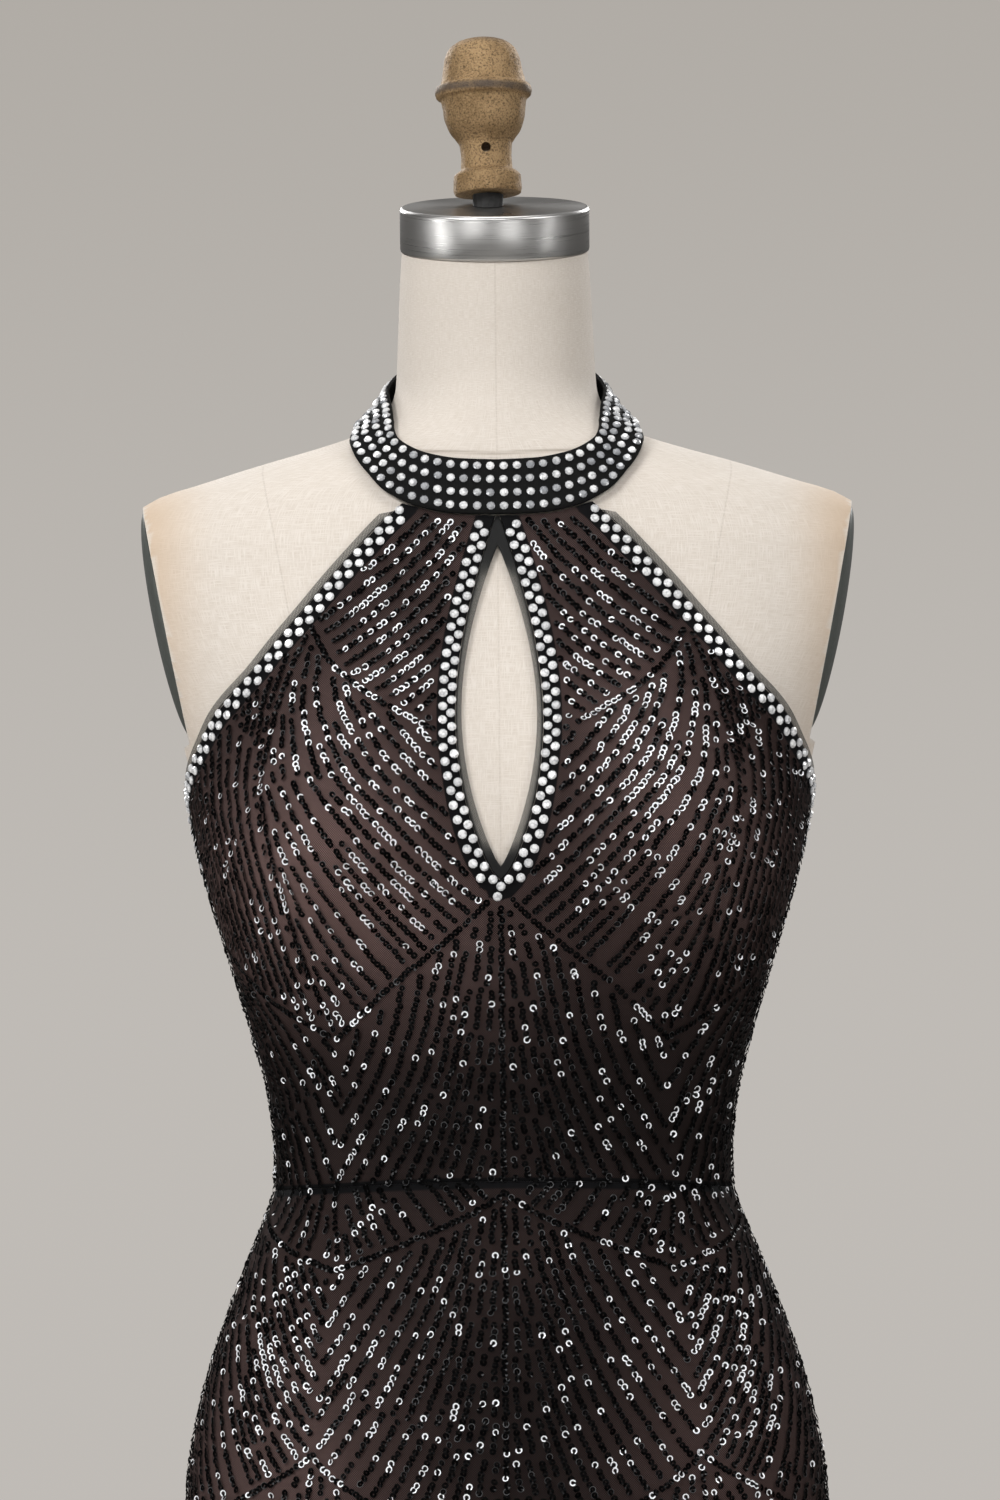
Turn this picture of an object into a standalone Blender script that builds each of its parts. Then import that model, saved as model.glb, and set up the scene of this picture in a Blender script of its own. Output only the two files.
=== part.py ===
"""Mermaid evening gown on a dress form. A limbless linen torso stands on a pole and a round base. The
gown's panels, collar, bindings and zip are separate walls of cloth that follow the torso down to the
knee and flare to the hem. Metres, +Z up, front towards -Y, origin on the floor under the pole."""

from math import atan2, cos, degrees, exp, pi, radians, sin, tan

import bmesh
import bpy
import numpy as np
from mathutils import Matrix, Vector

# Cloth
CLEARANCE = 0.0019  # between the form and the cloth's inner face
COLLAR_CLEARANCE = 0.0027
CLOTH = 0.0016  # net, lining and beading together
BAND = 0.0022  # the collar's wall
TRIM = 0.0014  # net bindings
SEAM = 0.0003  # between pieces that meet
COLLAR_SEAM = 0.0007

# Heights
WAIST = 1.058
WAIST_ARCH = 0.005  # how far the waist seam rises at centre front
HEM = 0.017
FORM_BOTTOM = 0.78
NECK_BEND = 1.50
NECK_TOP = 1.5775

# Sections of the torso, and of the skirt's fall below it. Each row: height, half width, the y of its
# front and of its back at the centre, and the y of its widest line.
SECTION_COLUMNS = ("z", "half_width", "front", "back", "side")
SECTIONS = (
    (0.010, 0.372, -0.346, 0.346, 0.000),
    (0.060, 0.345, -0.322, 0.322, 0.000),
    (0.100, 0.322, -0.300, 0.300, 0.000),
    (0.200, 0.262, -0.243, 0.243, 0.000),
    (0.300, 0.207, -0.190, 0.188, 0.000),
    (0.400, 0.164, -0.138, 0.134, 0.000),
    (0.460, 0.150, -0.114, 0.112, 0.000),
    (0.520, 0.146, -0.104, 0.104, 0.000),
    (0.600, 0.152, -0.103, 0.106, 0.000),
    (0.700, 0.163, -0.105, 0.112, 0.000),
    (0.780, 0.170, -0.106, 0.120, 0.000),
    (0.860, 0.1720, -0.108, 0.125, 0.000),
    (0.900, 0.1704, -0.108, 0.123, 0.000),
    (0.945, 0.1624, -0.108, 0.118, 0.000),
    (0.985, 0.1500, -0.104, 0.109, 0.000),
    (1.020, 0.1366, -0.098, 0.100, 0.000),
    (1.045, 0.1263, -0.094, 0.093, 0.000),
    (1.060, 0.1218, -0.0925, 0.090, 0.000),
    (1.075, 0.1214, -0.0925, 0.0885, 0.000),
    (1.108, 0.1242, -0.094, 0.0875, 0.000),
    (1.140, 0.1321, -0.098, 0.088, 0.000),
    (1.174, 0.1422, -0.102, 0.090, 0.000),
    (1.207, 0.1524, -0.105, 0.094, 0.000),
    (1.240, 0.1617, -0.107, 0.098, 0.000),
    (1.273, 0.1684, -0.105, 0.101, 0.000),
    (1.300, 0.1735, -0.101, 0.103, 0.000),
    (1.330, 0.1875, -0.094, 0.104, 0.004),
    (1.360, 0.204, -0.086, 0.104, 0.010),
    (1.390, 0.214, -0.077, 0.102, 0.014),
    (1.410, 0.215, -0.071, 0.099, 0.016),
    (1.430, 0.207, -0.0635, 0.094, 0.018),
    (1.443, 0.189, -0.059, 0.090, 0.019),
    (1.449, 0.170, -0.057, 0.088, 0.020),
    (1.460, 0.1340, -0.0535, 0.086, 0.020),
    (1.468, 0.1045, -0.051, 0.0845, 0.019),
    (1.473, 0.088, -0.0495, 0.0838, 0.0185),
    (1.478, 0.0745, -0.0482, 0.083, 0.018),
    (1.487, 0.0635, -0.046, 0.0815, 0.018),
    (1.495, 0.0585, -0.0445, 0.080, 0.018),
    (1.504, 0.056, -0.0438, 0.078, 0.017),
    (1.530, 0.0545, -0.0455, 0.069, 0.0115),
    (1.560, 0.053, -0.0497, 0.0547, 0.0025),
    (1.5775, 0.0516, -0.0518, 0.0460, -0.0029),
)

# Bust: two soft mounds on the front
BUST_X = 0.092
BUST_Z = 1.245
BUST_DEPTH = 0.033
BUST_HALF_WIDTH = 0.062
BUST_RISE = 0.078  # how far a mound fades upwards
BUST_FALL = 0.052  # and downwards
BUST_SIDE = 0.35  # cosine of the turn at which a mound has its full depth

# Flutes of the flared hem. Each row: turn from the front, half width of the flute, both in degrees,
# how far it stands out at the hem, and the height that it starts from.
FLUTES = (
    (-172, 12, 0.030, 0.40),
    (-147, 14, 0.036, 0.44),
    (-121, 11, 0.026, 0.36),
    (-98, 13, 0.034, 0.42),
    (-72, 12, 0.028, 0.38),
    (-47, 13, 0.036, 0.45),
    (-22, 11, 0.027, 0.37),
    (2, 13, 0.033, 0.43),
    (28, 12, 0.030, 0.40),
    (52, 13, 0.037, 0.45),
    (78, 11, 0.026, 0.36),
    (101, 13, 0.035, 0.43),
    (127, 12, 0.029, 0.39),
    (152, 12, 0.034, 0.42),
)
FLUTE_GROWTH = 1.25

# The bodice's free edge, from the collar down the halter line, under the arm and along the open back
# to the centre back. Each row: turn from the front in degrees, height.
FREE_EDGE_FRONT = (
    (14.3, 1.4288),
    (21.0, 1.402),
    (30.0, 1.370),
    (43.0, 1.338),
    (59.0, 1.3135),
    (70.0, 1.297),
    (80.0, 1.285),
    (90.0, 1.274),
)
FREE_EDGE_BACK = (
    (90.0, 1.274),
    (95.0, 1.256),
    (99.0, 1.230),
    (104.0, 1.190),
    (111.0, 1.150),
    (123.0, 1.116),
    (140.0, 1.096),
    (160.0, 1.087),
    (178.0, 1.085),
)
BINDING = 0.0045  # width of the net beyond an edge
HALTER_END = 0.030  # shares of the halter line by which the binding stops short of the collar
HALTER_END_SLANT = 0.026

# Keyhole: a slim opening, pointed at both ends
KEYHOLE_LOW = 1.2300
KEYHOLE_HIGH = 1.4045
KEYHOLE_HALF = 0.0203
KEYHOLE_SKEW = 0.893  # below 1, the widest place lies under the middle
KEYHOLE_FULLNESS = 0.9
CUT_LOW = 1.2222  # the cloth's own edge round the keyhole
CUT_HIGH = 1.424
CUT_HALF = 0.0238
CUT_SKEW = 0.80

# Collar edges. Each row: turn round the neck in degrees, height of the lower edge, of the upper edge.
COLLAR = (
    (0.0, 1.4215, 1.4525),
    (15.0, 1.4223, 1.4534),
    (27.0, 1.4262, 1.4565),
    (38.0, 1.4355, 1.4635),
    (46.0, 1.4493, 1.4727),
    (54.0, 1.4617, 1.4822),
    (63.0, 1.4707, 1.4903),
    (75.0, 1.4762, 1.4980),
    (90.0, 1.4795, 1.5042),
    (135.0, 1.4880, 1.5200),
    (180.0, 1.4930, 1.5270),
)
COLLAR_END_TURN = 0.35  # degrees that each end stops short of the centre back

# Zip
ZIP_HALF = 0.0030
ZIP_TOP = 1.0885
ZIP_BOTTOM = 0.872
ZIP_TAPER = 0.008
SLIDER_Z = 1.0775
SLIDER_GAP = 0.0005  # between the tape and the slider
SLIDER_HALF = 0.0036
SLIDER_HEIGHT = 0.0095
SLIDER_FLOOR = 0.0018
SLIDER_EAR = 0.0050
SLIDER_EAR_INNER = 0.0023
PULL_AXIS = 0.0036  # out from the slider's back
PULL_BARREL = 0.0019  # half width of the bar between the ears
PULL_BAR_TOP = 0.0010
PULL_BAR_FOOT = -0.0012
PULL_SHOULDER = ((0.0011, -0.0035), (0.0013, -0.0075))  # half width and height of the tab's neck
PULL_HALF = 0.0030  # radius of the round end
PULL_LENGTH = 0.022
PULL_THICKNESS = 0.0011
PULL_ARC_START = 35  # degrees, of the round end
PULL_ARC = 250
PULL_ARC_STEPS = 8

# Arm cuts: a flat face on each side, leaning out upwards
ARM_CUT_X = 0.1725
ARM_CUT_Z = 1.316
ARM_CUT_SLOPE = 0.200
ARM_CUT_LOW = 1.303
ARM_LEAN = atan2(ARM_CUT_SLOPE, 1)
ARM_CUTTER = 0.3
PLATE_Z = 1.3725
PLATE_Y = 0.012
PLATE_HALF_DEPTH = 0.040
PLATE_HALF_HEIGHT = 0.0640
PLATE_BULGE = 0.0080
PLATE_RIM = PLATE_BULGE * 0.12  # where the oval is cut flat, towards the form

# Neck cap, finial and stand
NECK_TILT = radians(16)
CAP_RADIUS = 0.0526
CAP_HEIGHT = 0.0248
CAP_EDGE = 0.0022
STEM_RADIUS = 0.0085
FINIAL_X = -0.0035
FINIAL_BOTTOM = 1.6085
FINIAL_LEAN = radians(-2.0)
PIN_HOLE_RADIUS = 0.0027
PIN_HOLE_Z = 0.0240
PIN_DRILL_LENGTH = 0.1
POLE_RADIUS = 0.0125
BASE_PROFILE = (
    (0.0, 0.045),
    (0.0200, 0.045),
    (0.0215, 0.0435),
    (0.0215, 0.0300),
    (0.0300, 0.0240),
    (0.0700, 0.0190),
    (0.1200, 0.0160),
    (0.1560, 0.0125),
    (0.1640, 0.0085),
    (0.1650, 0.0030),
    (0.1630, 0.0000),
    (0.0, 0.0000),
)
# Outline of the finial above its foot, from the top down: radius, height
FINIAL_PROFILE = (
    (0.0, 0.0876),
    (0.0060, 0.0872),
    (0.0124, 0.0856),
    (0.0164, 0.0834),
    (0.0193, 0.0802),
    (0.0209, 0.0760),
    (0.0220, 0.0700),
    (0.0233, 0.0634),
    (0.0240, 0.0612),
    (0.0262, 0.0601),
    (0.0270, 0.0573),
    (0.0262, 0.0545),
    (0.0240, 0.0531),
    (0.0234, 0.0510),
    (0.0224, 0.0430),
    (0.0200, 0.0358),
    (0.0164, 0.0307),
    (0.0146, 0.0275),
    (0.0141, 0.0208),
    (0.0142, 0.0140),
    (0.0170, 0.0118),
    (0.0187, 0.0098),
    (0.0189, 0.0025),
    (0.0181, 0.0),
    (0.0, 0.0),
)

# Finishes: colour, metallic, roughness
FINISHES = {
    "linen canvas": ((0.76, 0.70, 0.61), 0.0, 0.85),
    "brushed steel": ((0.62, 0.62, 0.62), 1.0, 0.28),
    "hammered gold": ((0.44, 0.31, 0.16), 0.9, 0.48),
    "black stem": ((0.03, 0.03, 0.03), 0.3, 0.5),
    "plate grey": ((0.12, 0.14, 0.14), 0.6, 0.35),
    "pole steel": ((0.66, 0.66, 0.66), 1.0, 0.2),
    "base black": ((0.05, 0.05, 0.055), 0.3, 0.45),
    "beaded net": ((0.10, 0.075, 0.07), 0.1, 0.5),
    "collar black": ((0.02, 0.02, 0.022), 0.0, 0.6),
    "binding net": ((0.16, 0.16, 0.16), 0.0, 0.6),
    "zip tape": ((0.02, 0.02, 0.02), 0.0, 0.6),
    "zip metal": ((0.03, 0.03, 0.03), 0.7, 0.35),
}

CREASE = radians(35)  # corners sharper than this are shaded as edges
MERGE = 0.00005
ON_PLANE = 1e-6

DENSE_STEPS = 1600
LINE_STEPS = 160
TANGENT_STEP = 0.004
TURN_STEP = 0.5  # degrees, and the height, over which the torso's slope is read
HEIGHT_STEP = 0.001

# Steps along the bodice's edges: up the centre, the keyhole, the side seam, the halter line and the
# open back. The bindings share them, so that each seam's gap is even.
CENTRE_STEPS = 10
KEYHOLE_STEPS = 13
FRONT_STEPS = CENTRE_STEPS + KEYHOLE_STEPS
SIDE_STEPS = 11
HALTER_STEPS = FRONT_STEPS - SIDE_STEPS
BACK_STEPS = 16
COLLAR_MEETING_BEARINGS = (9, 17, 25)
SEAM_ROWS = 9
KEYHOLE_ROWS = 24

# Columns and rows of the walls
BODICE_COLUMNS = 12
BACK_BODICE_ROWS = 6
SKIRT_FRONT_COLUMNS = 36
SKIRT_BACK_COLUMNS = 18
COLLAR_COLUMNS = 44
COLLAR_ROWS = 2
ZIP_COLUMNS = 2
ZIP_ROWS = 14

# Sides of the round pieces
PLATE_SEGMENTS = 12
PLATE_RINGS = 20
CAP_STEPS = 40
STEM_STEPS = 16
FINIAL_STEPS = 18
PIN_STEPS = 12
POLE_STEPS = 20
BASE_STEPS = 32


def clear_scene():
    for item in list(bpy.data.objects):
        bpy.data.objects.remove(item, do_unlink=True)


def new_collection(name):
    made = bpy.data.collections.new(name)
    bpy.context.scene.collection.children.link(made)
    return made


def new_material(name):
    colour, metallic, roughness = FINISHES[name]
    made = bpy.data.materials.new(name)
    made.use_nodes = True
    shader = made.node_tree.nodes["Principled BSDF"]
    shader.inputs["Base Color"].default_value = (*colour, 1.0)
    shader.inputs["Metallic"].default_value = metallic
    shader.inputs["Roughness"].default_value = roughness
    return made


def add_object(name, mesh, collection, finish=None):
    """Puts a bmesh into the scene as one object."""
    data = bpy.data.meshes.new(name)
    mesh.to_mesh(data)
    mesh.free()
    data.shade_smooth()
    data.set_sharp_from_angle(angle=CREASE)
    made = bpy.data.objects.new(name, data)
    if finish:
        data.materials.append(new_material(finish))
    collection.objects.link(made)
    return made


# ---- The surface that everything is worn on ----


def smoothed(places, values, at):
    """The values of a cubic through rows, which never overshoots them, at any places between."""
    places = np.asarray(places, float)
    values = np.asarray(values, float)
    rises = np.diff(values) / np.diff(places)
    slopes = np.zeros(len(places))
    slopes[0] = rises[0]
    slopes[-1] = rises[-1]
    for i in range(1, len(places) - 1):
        if rises[i - 1] * rises[i] > 0:
            slopes[i] = 2 * rises[i - 1] * rises[i] / (rises[i - 1] + rises[i])
    i = np.clip(np.searchsorted(places, at, side="right") - 1, 0, len(places) - 2)
    span = places[i + 1] - places[i]
    t = (at - places[i]) / span
    start = values[i] * (1 + 2 * t) * (1 - t) ** 2 + span * slopes[i] * t * (1 - t) ** 2
    end = values[i + 1] * t * t * (3 - 2 * t) - span * slopes[i + 1] * t * t * (1 - t)
    return start + end


def dense_sections():
    """The section table read at many heights: its heights, then one line for each other column."""
    rows = np.array(SECTIONS)
    heights = np.linspace(rows[0, 0], rows[-1, 0], DENSE_STEPS)
    columns = [smoothed(rows[:, 0], rows[:, i], heights) for i in range(1, len(SECTION_COLUMNS))]
    return heights, columns


HEIGHTS, SECTION_LINES = dense_sections()


def section(z):
    """Half width, front y, back y and side y of the section at a height."""
    return [float(np.interp(z, HEIGHTS, line)) for line in SECTION_LINES]


def bust(x, z, facing):
    """How far the bust stands forward of the plain section."""
    reach = BUST_RISE if z > BUST_Z else BUST_FALL
    height = exp(-(((z - BUST_Z) / reach) ** 2))
    mounds = sum(exp(-(((x - side * BUST_X) / BUST_HALF_WIDTH) ** 2)) for side in (-1, 1))
    t = min(max(facing / BUST_SIDE, 0.0), 1.0)
    return BUST_DEPTH * height * mounds * t * t * (3 - 2 * t)


def fluting(turn, z):
    """How far the hem's flutes stand out at this turn and height."""
    out = 0.0
    for angle, half_width, depth, start in FLUTES:
        away = abs((turn - angle + 180) % 360 - 180) / half_width
        if away < 1 and z < start:
            grown = ((start - z) / (start - HEM)) ** FLUTE_GROWTH
            out += depth * grown * (0.5 + 0.5 * cos(pi * away))
    return out


def skin(turn, z):
    """A point of the torso, or of the skirt's fall, at a turn in degrees from the front and a height."""
    half_width, front, back, side = section(z)
    sideways = sin(radians(turn))
    facing = cos(radians(turn))
    depth = side - front if facing > 0 else back - side
    x = half_width * sideways
    y = side - depth * facing - bust(x, z, facing)
    out = fluting(turn, z)
    tilted = min(max((z - NECK_BEND) / (NECK_TOP - NECK_BEND), 0.0), 1.0)
    lift = tilted * tan(NECK_TILT) * (y - side)
    return Vector((x + out * sideways, y - out * facing, z + lift))


def outward(turn, z):
    """The direction that faces away from the torso there."""
    around = skin(turn + TURN_STEP, z) - skin(turn - TURN_STEP, z)
    top = min(z + HEIGHT_STEP, SECTIONS[-1][0])
    bottom = max(z - HEIGHT_STEP, SECTIONS[0][0])
    upwards = skin(turn, top) - skin(turn, bottom)
    return around.cross(upwards).normalized()


def above(place, out):
    """The point at a distance out from the torso, over a place given as turn and height."""
    turn, z = float(place[0]), float(place[1])
    return skin(turn, z) + outward(turn, z) * out


def turn_at(x, z):
    """The turn at which the front of the section lies at this x."""
    return degrees(np.arcsin(np.clip(x / section(z)[0], -1, 1)))


def turn_of_bearing(bearing, z):
    """The section's turn in the direction of a bearing round the vertical axis."""
    half_width, front, back, side = section(z)
    facing = cos(radians(bearing))
    depth = side - front if facing > 0 else back - side
    return degrees(atan2(sin(radians(bearing)) / half_width, facing / depth))


def seam_turn(z):
    """Half a seam's gap at the side or the centre back, as a turn."""
    half_width, front, back, _ = section(z)
    return degrees(SEAM / 2 / ((back - front) / 2))


def waist_seam(turn):
    return WAIST + WAIST_ARCH * max(cos(radians(turn)), 0.0) ** 2


# ---- Lines and patches on that surface ----


def walked_line(rows):
    """A smooth line over the torso through rows of turn and height, as a function of the share walked."""
    rows = np.array(rows, float)
    index = np.linspace(0, len(rows) - 1, LINE_STEPS)
    turns = smoothed(np.arange(len(rows)), rows[:, 0], index)
    heights = smoothed(np.arange(len(rows)), rows[:, 1], index)
    points = np.array([skin(turn, z) for turn, z in zip(turns, heights)])
    steps = np.linalg.norm(np.diff(points, axis=0), axis=1)
    share = np.concatenate([[0.0], np.cumsum(steps)])
    share /= share[-1]
    return lambda t: np.array((np.interp(t, share, turns), np.interp(t, share, heights)))


def chained(first, second, at):
    """Two lines walked one after the other."""
    return lambda t: first(t / at) if t < at else second((t - at) / (1 - at))


def patch(bottom, top, left, right, u, v):
    """A place inside four edges, blended from all of them."""
    between = (1 - u) * left(v) + u * right(v) + (1 - v) * bottom(u) + v * top(u)
    corners = (1 - u) * (1 - v) * bottom(0) + u * (1 - v) * bottom(1)
    return between - corners - (1 - u) * v * top(0) - u * v * top(1)


def row_heights(stretches):
    """Heights of a grid's rows, from stretches of start, end and number of steps."""
    heights = [stretches[0][0]]
    for start, end, steps in stretches:
        heights += [start + (end - start) * (i + 1) / steps for i in range(steps)]
    return heights


def on_plane(item):
    return all(abs(vert.co.x) < ON_PLANE for vert in item.verts)


def add_wall(name, columns, rows, place, collection, finish, mirrored=False):
    """A wall of cloth: a grid is given depth, and each corner then moves to place(u, v, depth), where
    each value runs from 0 to 1. A mirrored wall is one half, open at the plane x = 0."""
    mesh = bmesh.new()
    bmesh.ops.create_grid(mesh, x_segments=columns, y_segments=rows, size=0.5)
    doubled = bmesh.ops.extrude_face_region(mesh, geom=mesh.faces[:], use_keep_orig=True)["geom"]
    outer = [item for item in doubled if isinstance(item, bmesh.types.BMVert)]
    bmesh.ops.translate(mesh, verts=outer, vec=(0, 0, 1))
    bmesh.ops.recalc_face_normals(mesh, faces=mesh.faces[:])
    for vert in mesh.verts:
        vert.co = place(vert.co.x + 0.5, vert.co.y + 0.5, vert.co.z)
    bmesh.ops.remove_doubles(mesh, verts=mesh.verts[:], dist=ON_PLANE)
    if mesh.calc_volume(signed=True) < 0:
        bmesh.ops.reverse_faces(mesh, faces=mesh.faces[:])
    if mirrored:
        flat = [face for face in mesh.faces if on_plane(face)]
        bmesh.ops.delete(mesh, geom=flat, context="FACES_ONLY")
        loose = [edge for edge in mesh.edges if not edge.link_faces]
        bmesh.ops.delete(mesh, geom=loose, context="EDGES")
    made = add_object(name, mesh, collection, finish)
    if mirrored:
        mirror = made.modifiers.new("Mirror", "MIRROR")
        mirror.merge_threshold = MERGE
    return made


# ---- Gown ----


def keyhole_side(t, low, high, half, skew):
    """x and z of one side of a pointed oval at share t of its height."""
    swell = sin(pi * min(max(t, 0.0), 1.0) ** skew)
    return half * max(swell, 0.0) ** KEYHOLE_FULLNESS, low + (high - low) * t


def keyhole_rows(low, high, half, skew, end, steps):
    """Rows of turn and height up one side of the keyhole, as far as the height `end`."""
    rows = []
    for i in range(steps + 1):
        x, z = keyhole_side((end - low) / (high - low) * i / steps, low, high, half, skew)
        rows.append((turn_at(x, z), z))
    return rows


def collar_edge(bearing, column):
    rows = np.array(COLLAR)
    return float(smoothed(rows[:, 0], rows[:, column], abs(bearing)))


def collar_place(bearing, column):
    """Turn and height of the collar's lower (1) or upper (2) edge at a bearing."""
    z = collar_edge(bearing, column)
    return turn_of_bearing(bearing, z), z


def under_collar():
    return collar_edge(0, 1) - COLLAR_SEAM


def keyhole_line():
    """The cloth's edge round the keyhole, from its low point up to the collar."""
    return walked_line(keyhole_rows(CUT_LOW, CUT_HIGH, CUT_HALF, CUT_SKEW, under_collar(), KEYHOLE_ROWS))


def halter_line():
    """The cloth's edge from the side seam up to the collar."""
    return walked_line([(turn - seam_turn(z) * (turn / 90) ** 8, z) for turn, z in FREE_EDGE_FRONT[::-1]])


def back_line():
    """The cloth's edge from the side seam along the open back to the zip."""
    armhole, low = FREE_EDGE_BACK[0][1], FREE_EDGE_BACK[-1][1]
    first = (90 + seam_turn(armhole), armhole)
    last = (centre_back_turn(low), low)
    return walked_line((first, *FREE_EDGE_BACK[1:-1], last))


def collar_meeting_line(start, end):
    """The front's edge under the collar, between two places."""
    rows = [tuple(start)]
    for bearing in COLLAR_MEETING_BEARINGS:
        z = collar_edge(bearing, 1) - COLLAR_SEAM
        rows.append((turn_of_bearing(bearing, z), z))
    return walked_line([*rows, tuple(end)])


def add_front_bodice(collection):
    """The right half, from the centre and the keyhole to the side seam and the halter line."""
    keyhole = keyhole_line()
    halter = halter_line()
    armhole = FREE_EDGE_FRONT[-1][1]
    centre = walked_line(((0, waist_seam(0) + SEAM / 2), (0, CUT_LOW)))
    side = walked_line([(90 - seam_turn(z), z) for z in np.linspace(WAIST + SEAM / 2, armhole, SEAM_ROWS)])
    turns = np.linspace(0, 90 - seam_turn(WAIST), SEAM_ROWS)
    bottom = walked_line([(turn, waist_seam(turn) + SEAM / 2) for turn in turns])
    top = collar_meeting_line(keyhole(1), halter(1))
    left = chained(centre, keyhole, CENTRE_STEPS / FRONT_STEPS)
    right = chained(side, halter, SIDE_STEPS / FRONT_STEPS)

    def place(u, v, depth):
        return above(patch(bottom, top, left, right, u, v), CLEARANCE + CLOTH * depth)

    add_wall("front_bodice", BODICE_COLUMNS, FRONT_STEPS, place, collection, "beaded net", mirrored=True)


def centre_back_turn(z):
    """The turn of a back panel's centre edge, which makes room for the zip as far as its lower end."""
    opened = min(max((z - ZIP_BOTTOM + ZIP_TAPER) / ZIP_TAPER, 0.0), 1.0)
    gap = SEAM / 2 + (ZIP_HALF + SEAM / 2) * opened
    return 180 - degrees(gap / section(z)[0])


def add_back_bodice(side, name, collection):
    """The low back, from the side seam and the open back's edge to the zip."""
    low = WAIST + SEAM / 2
    heights = np.linspace(low, FREE_EDGE_BACK[0][1], SEAM_ROWS)
    seam = walked_line([(90 + seam_turn(z), z) for z in heights])
    zip_edge = walked_line([(centre_back_turn(z), z) for z in (low, FREE_EDGE_BACK[-1][1])])
    top = back_line()
    bottom = walked_line([(turn, low) for turn in (90 + seam_turn(low), 135, centre_back_turn(low))])

    def place(u, v, depth):
        turn, z = patch(bottom, top, seam, zip_edge, u, v)
        return above((side * turn, z), CLEARANCE + CLOTH * depth)

    add_wall(name, BACK_STEPS, BACK_BODICE_ROWS, place, collection, "beaded net")


SKIRT_ROWS = row_heights(
    (
        (WAIST, ZIP_BOTTOM, 6),
        (ZIP_BOTTOM, ZIP_BOTTOM - ZIP_TAPER, 1),
        (ZIP_BOTTOM - ZIP_TAPER, FORM_BOTTOM, 3),
        (FORM_BOTTOM, 0.45, 4),
        (0.45, HEM, 8),
    )
)
WAIST_BLEND = 0.10  # how far down the waist seam's arch fades
MID_TURN = 45


def skirt_height(turn, v):
    """Height of a skirt row: the top row follows the waist seam, and the arch fades below it."""
    height = float(np.interp(v * (len(SKIRT_ROWS) - 1), range(len(SKIRT_ROWS)), SKIRT_ROWS))
    fade = max(0.0, 1 - (WAIST - height) / WAIST_BLEND)
    return height + (waist_seam(turn) - WAIST - SEAM / 2) * fade


def add_skirt_panel(name, columns, first, last, side, collection):
    """A skirt panel from the waist seam to the hem, between two edges given as functions of height."""

    def place(u, v, depth):
        rough = skirt_height(MID_TURN, 1 - v)
        turn = (1 - u) * first(rough) + u * last(rough)
        z = skirt_height(turn, 1 - v)
        return above((side * turn, z), CLEARANCE + CLOTH * depth)

    add_wall(name, columns, len(SKIRT_ROWS) - 1, place, collection, "beaded net")


def side_edge(before, after):
    """A panel's edge at the side seam, before or after it, as a function of height."""
    return lambda z: before * 90 + after * seam_turn(z)


def add_skirt(collection):
    first, last = side_edge(-1, 1), side_edge(1, -1)
    add_skirt_panel("skirt_front", SKIRT_FRONT_COLUMNS, first, last, 1, collection)
    for side, name in ((-1, "skirt_back_left"), (1, "skirt_back_right")):
        first = side_edge(1, 1)
        add_skirt_panel(name, SKIRT_BACK_COLUMNS, first, centre_back_turn, side, collection)


def add_collar(collection):
    """A stand collar: a band between its lower and upper edges, open at the centre back."""

    def place(u, v, depth):
        bearing = (2 * u - 1) * (180 - COLLAR_END_TURN)
        out = COLLAR_CLEARANCE + BAND * depth
        lower = above(collar_place(bearing, 1), out)
        upper = above(collar_place(bearing, 2), out)
        return lower.lerp(upper, v)

    add_wall("collar", COLLAR_COLUMNS, COLLAR_ROWS, place, collection, "collar black")


def beside(line, t, sideways, out):
    """A point beside a line on the torso, to the left of the way that it is walked."""
    ahead = above(line(min(t + TANGENT_STEP, 1)), out) - above(line(max(t - TANGENT_STEP, 0)), out)
    left = outward(*line(t)).cross(ahead.normalized())
    return above(line(t), out) + left * sideways


def add_edge_binding(side, name, collection):
    """A strip of net beyond the bodice's free edge, from the collar to the zip. It has a corner wherever
    the cloth's edge has one, and its end at the collar is cut on the slant."""
    halter = halter_line()
    back = back_line()
    steps = HALTER_STEPS + 1 + BACK_STEPS

    def place(u, v, depth):
        step = round(u * steps)
        sideways = SEAM + BINDING * v
        out = CLEARANCE + TRIM * depth
        if step <= HALTER_STEPS:
            cut_short = (HALTER_END + HALTER_END_SLANT * v) * (step == 0)
            point = beside(halter, 1 - step / HALTER_STEPS - cut_short, -sideways, out)
        else:
            point = beside(back, (step - HALTER_STEPS - 1) / BACK_STEPS, sideways, out)
        return Vector((side * point.x, point.y, point.z))

    add_wall(name, steps, 1, place, collection, "binding net")


def add_keyhole_binding(collection):
    """A strip of net round the keyhole, whose two sides meet above and below the opening. Its first row
    lies on the plane of symmetry, and the others have the corners of the cloth's edge."""
    cut = keyhole_line()

    def inner_edge(t, out):
        x, z = keyhole_side(t, KEYHOLE_LOW, KEYHOLE_HIGH, KEYHOLE_HALF, KEYHOLE_SKEW)
        return above((turn_at(x, z), z), out)

    def outer_edge(t, out):
        if t == 0:
            return above((0, CUT_LOW + 2 * SEAM), out)
        return beside(cut, t, SEAM, out)

    def place(u, v, depth):
        step = round((1 - v) * (KEYHOLE_STEPS + 1))
        out = CLEARANCE + TRIM * depth
        if step > KEYHOLE_STEPS:
            return above((0, KEYHOLE_HIGH), out).lerp(above((0, under_collar()), out), u)
        t = step / KEYHOLE_STEPS
        return inner_edge(t, out).lerp(outer_edge(t, out), u)

    add_wall("keyhole_binding", 1, KEYHOLE_STEPS + 1, place, collection, "binding net", mirrored=True)


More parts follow.
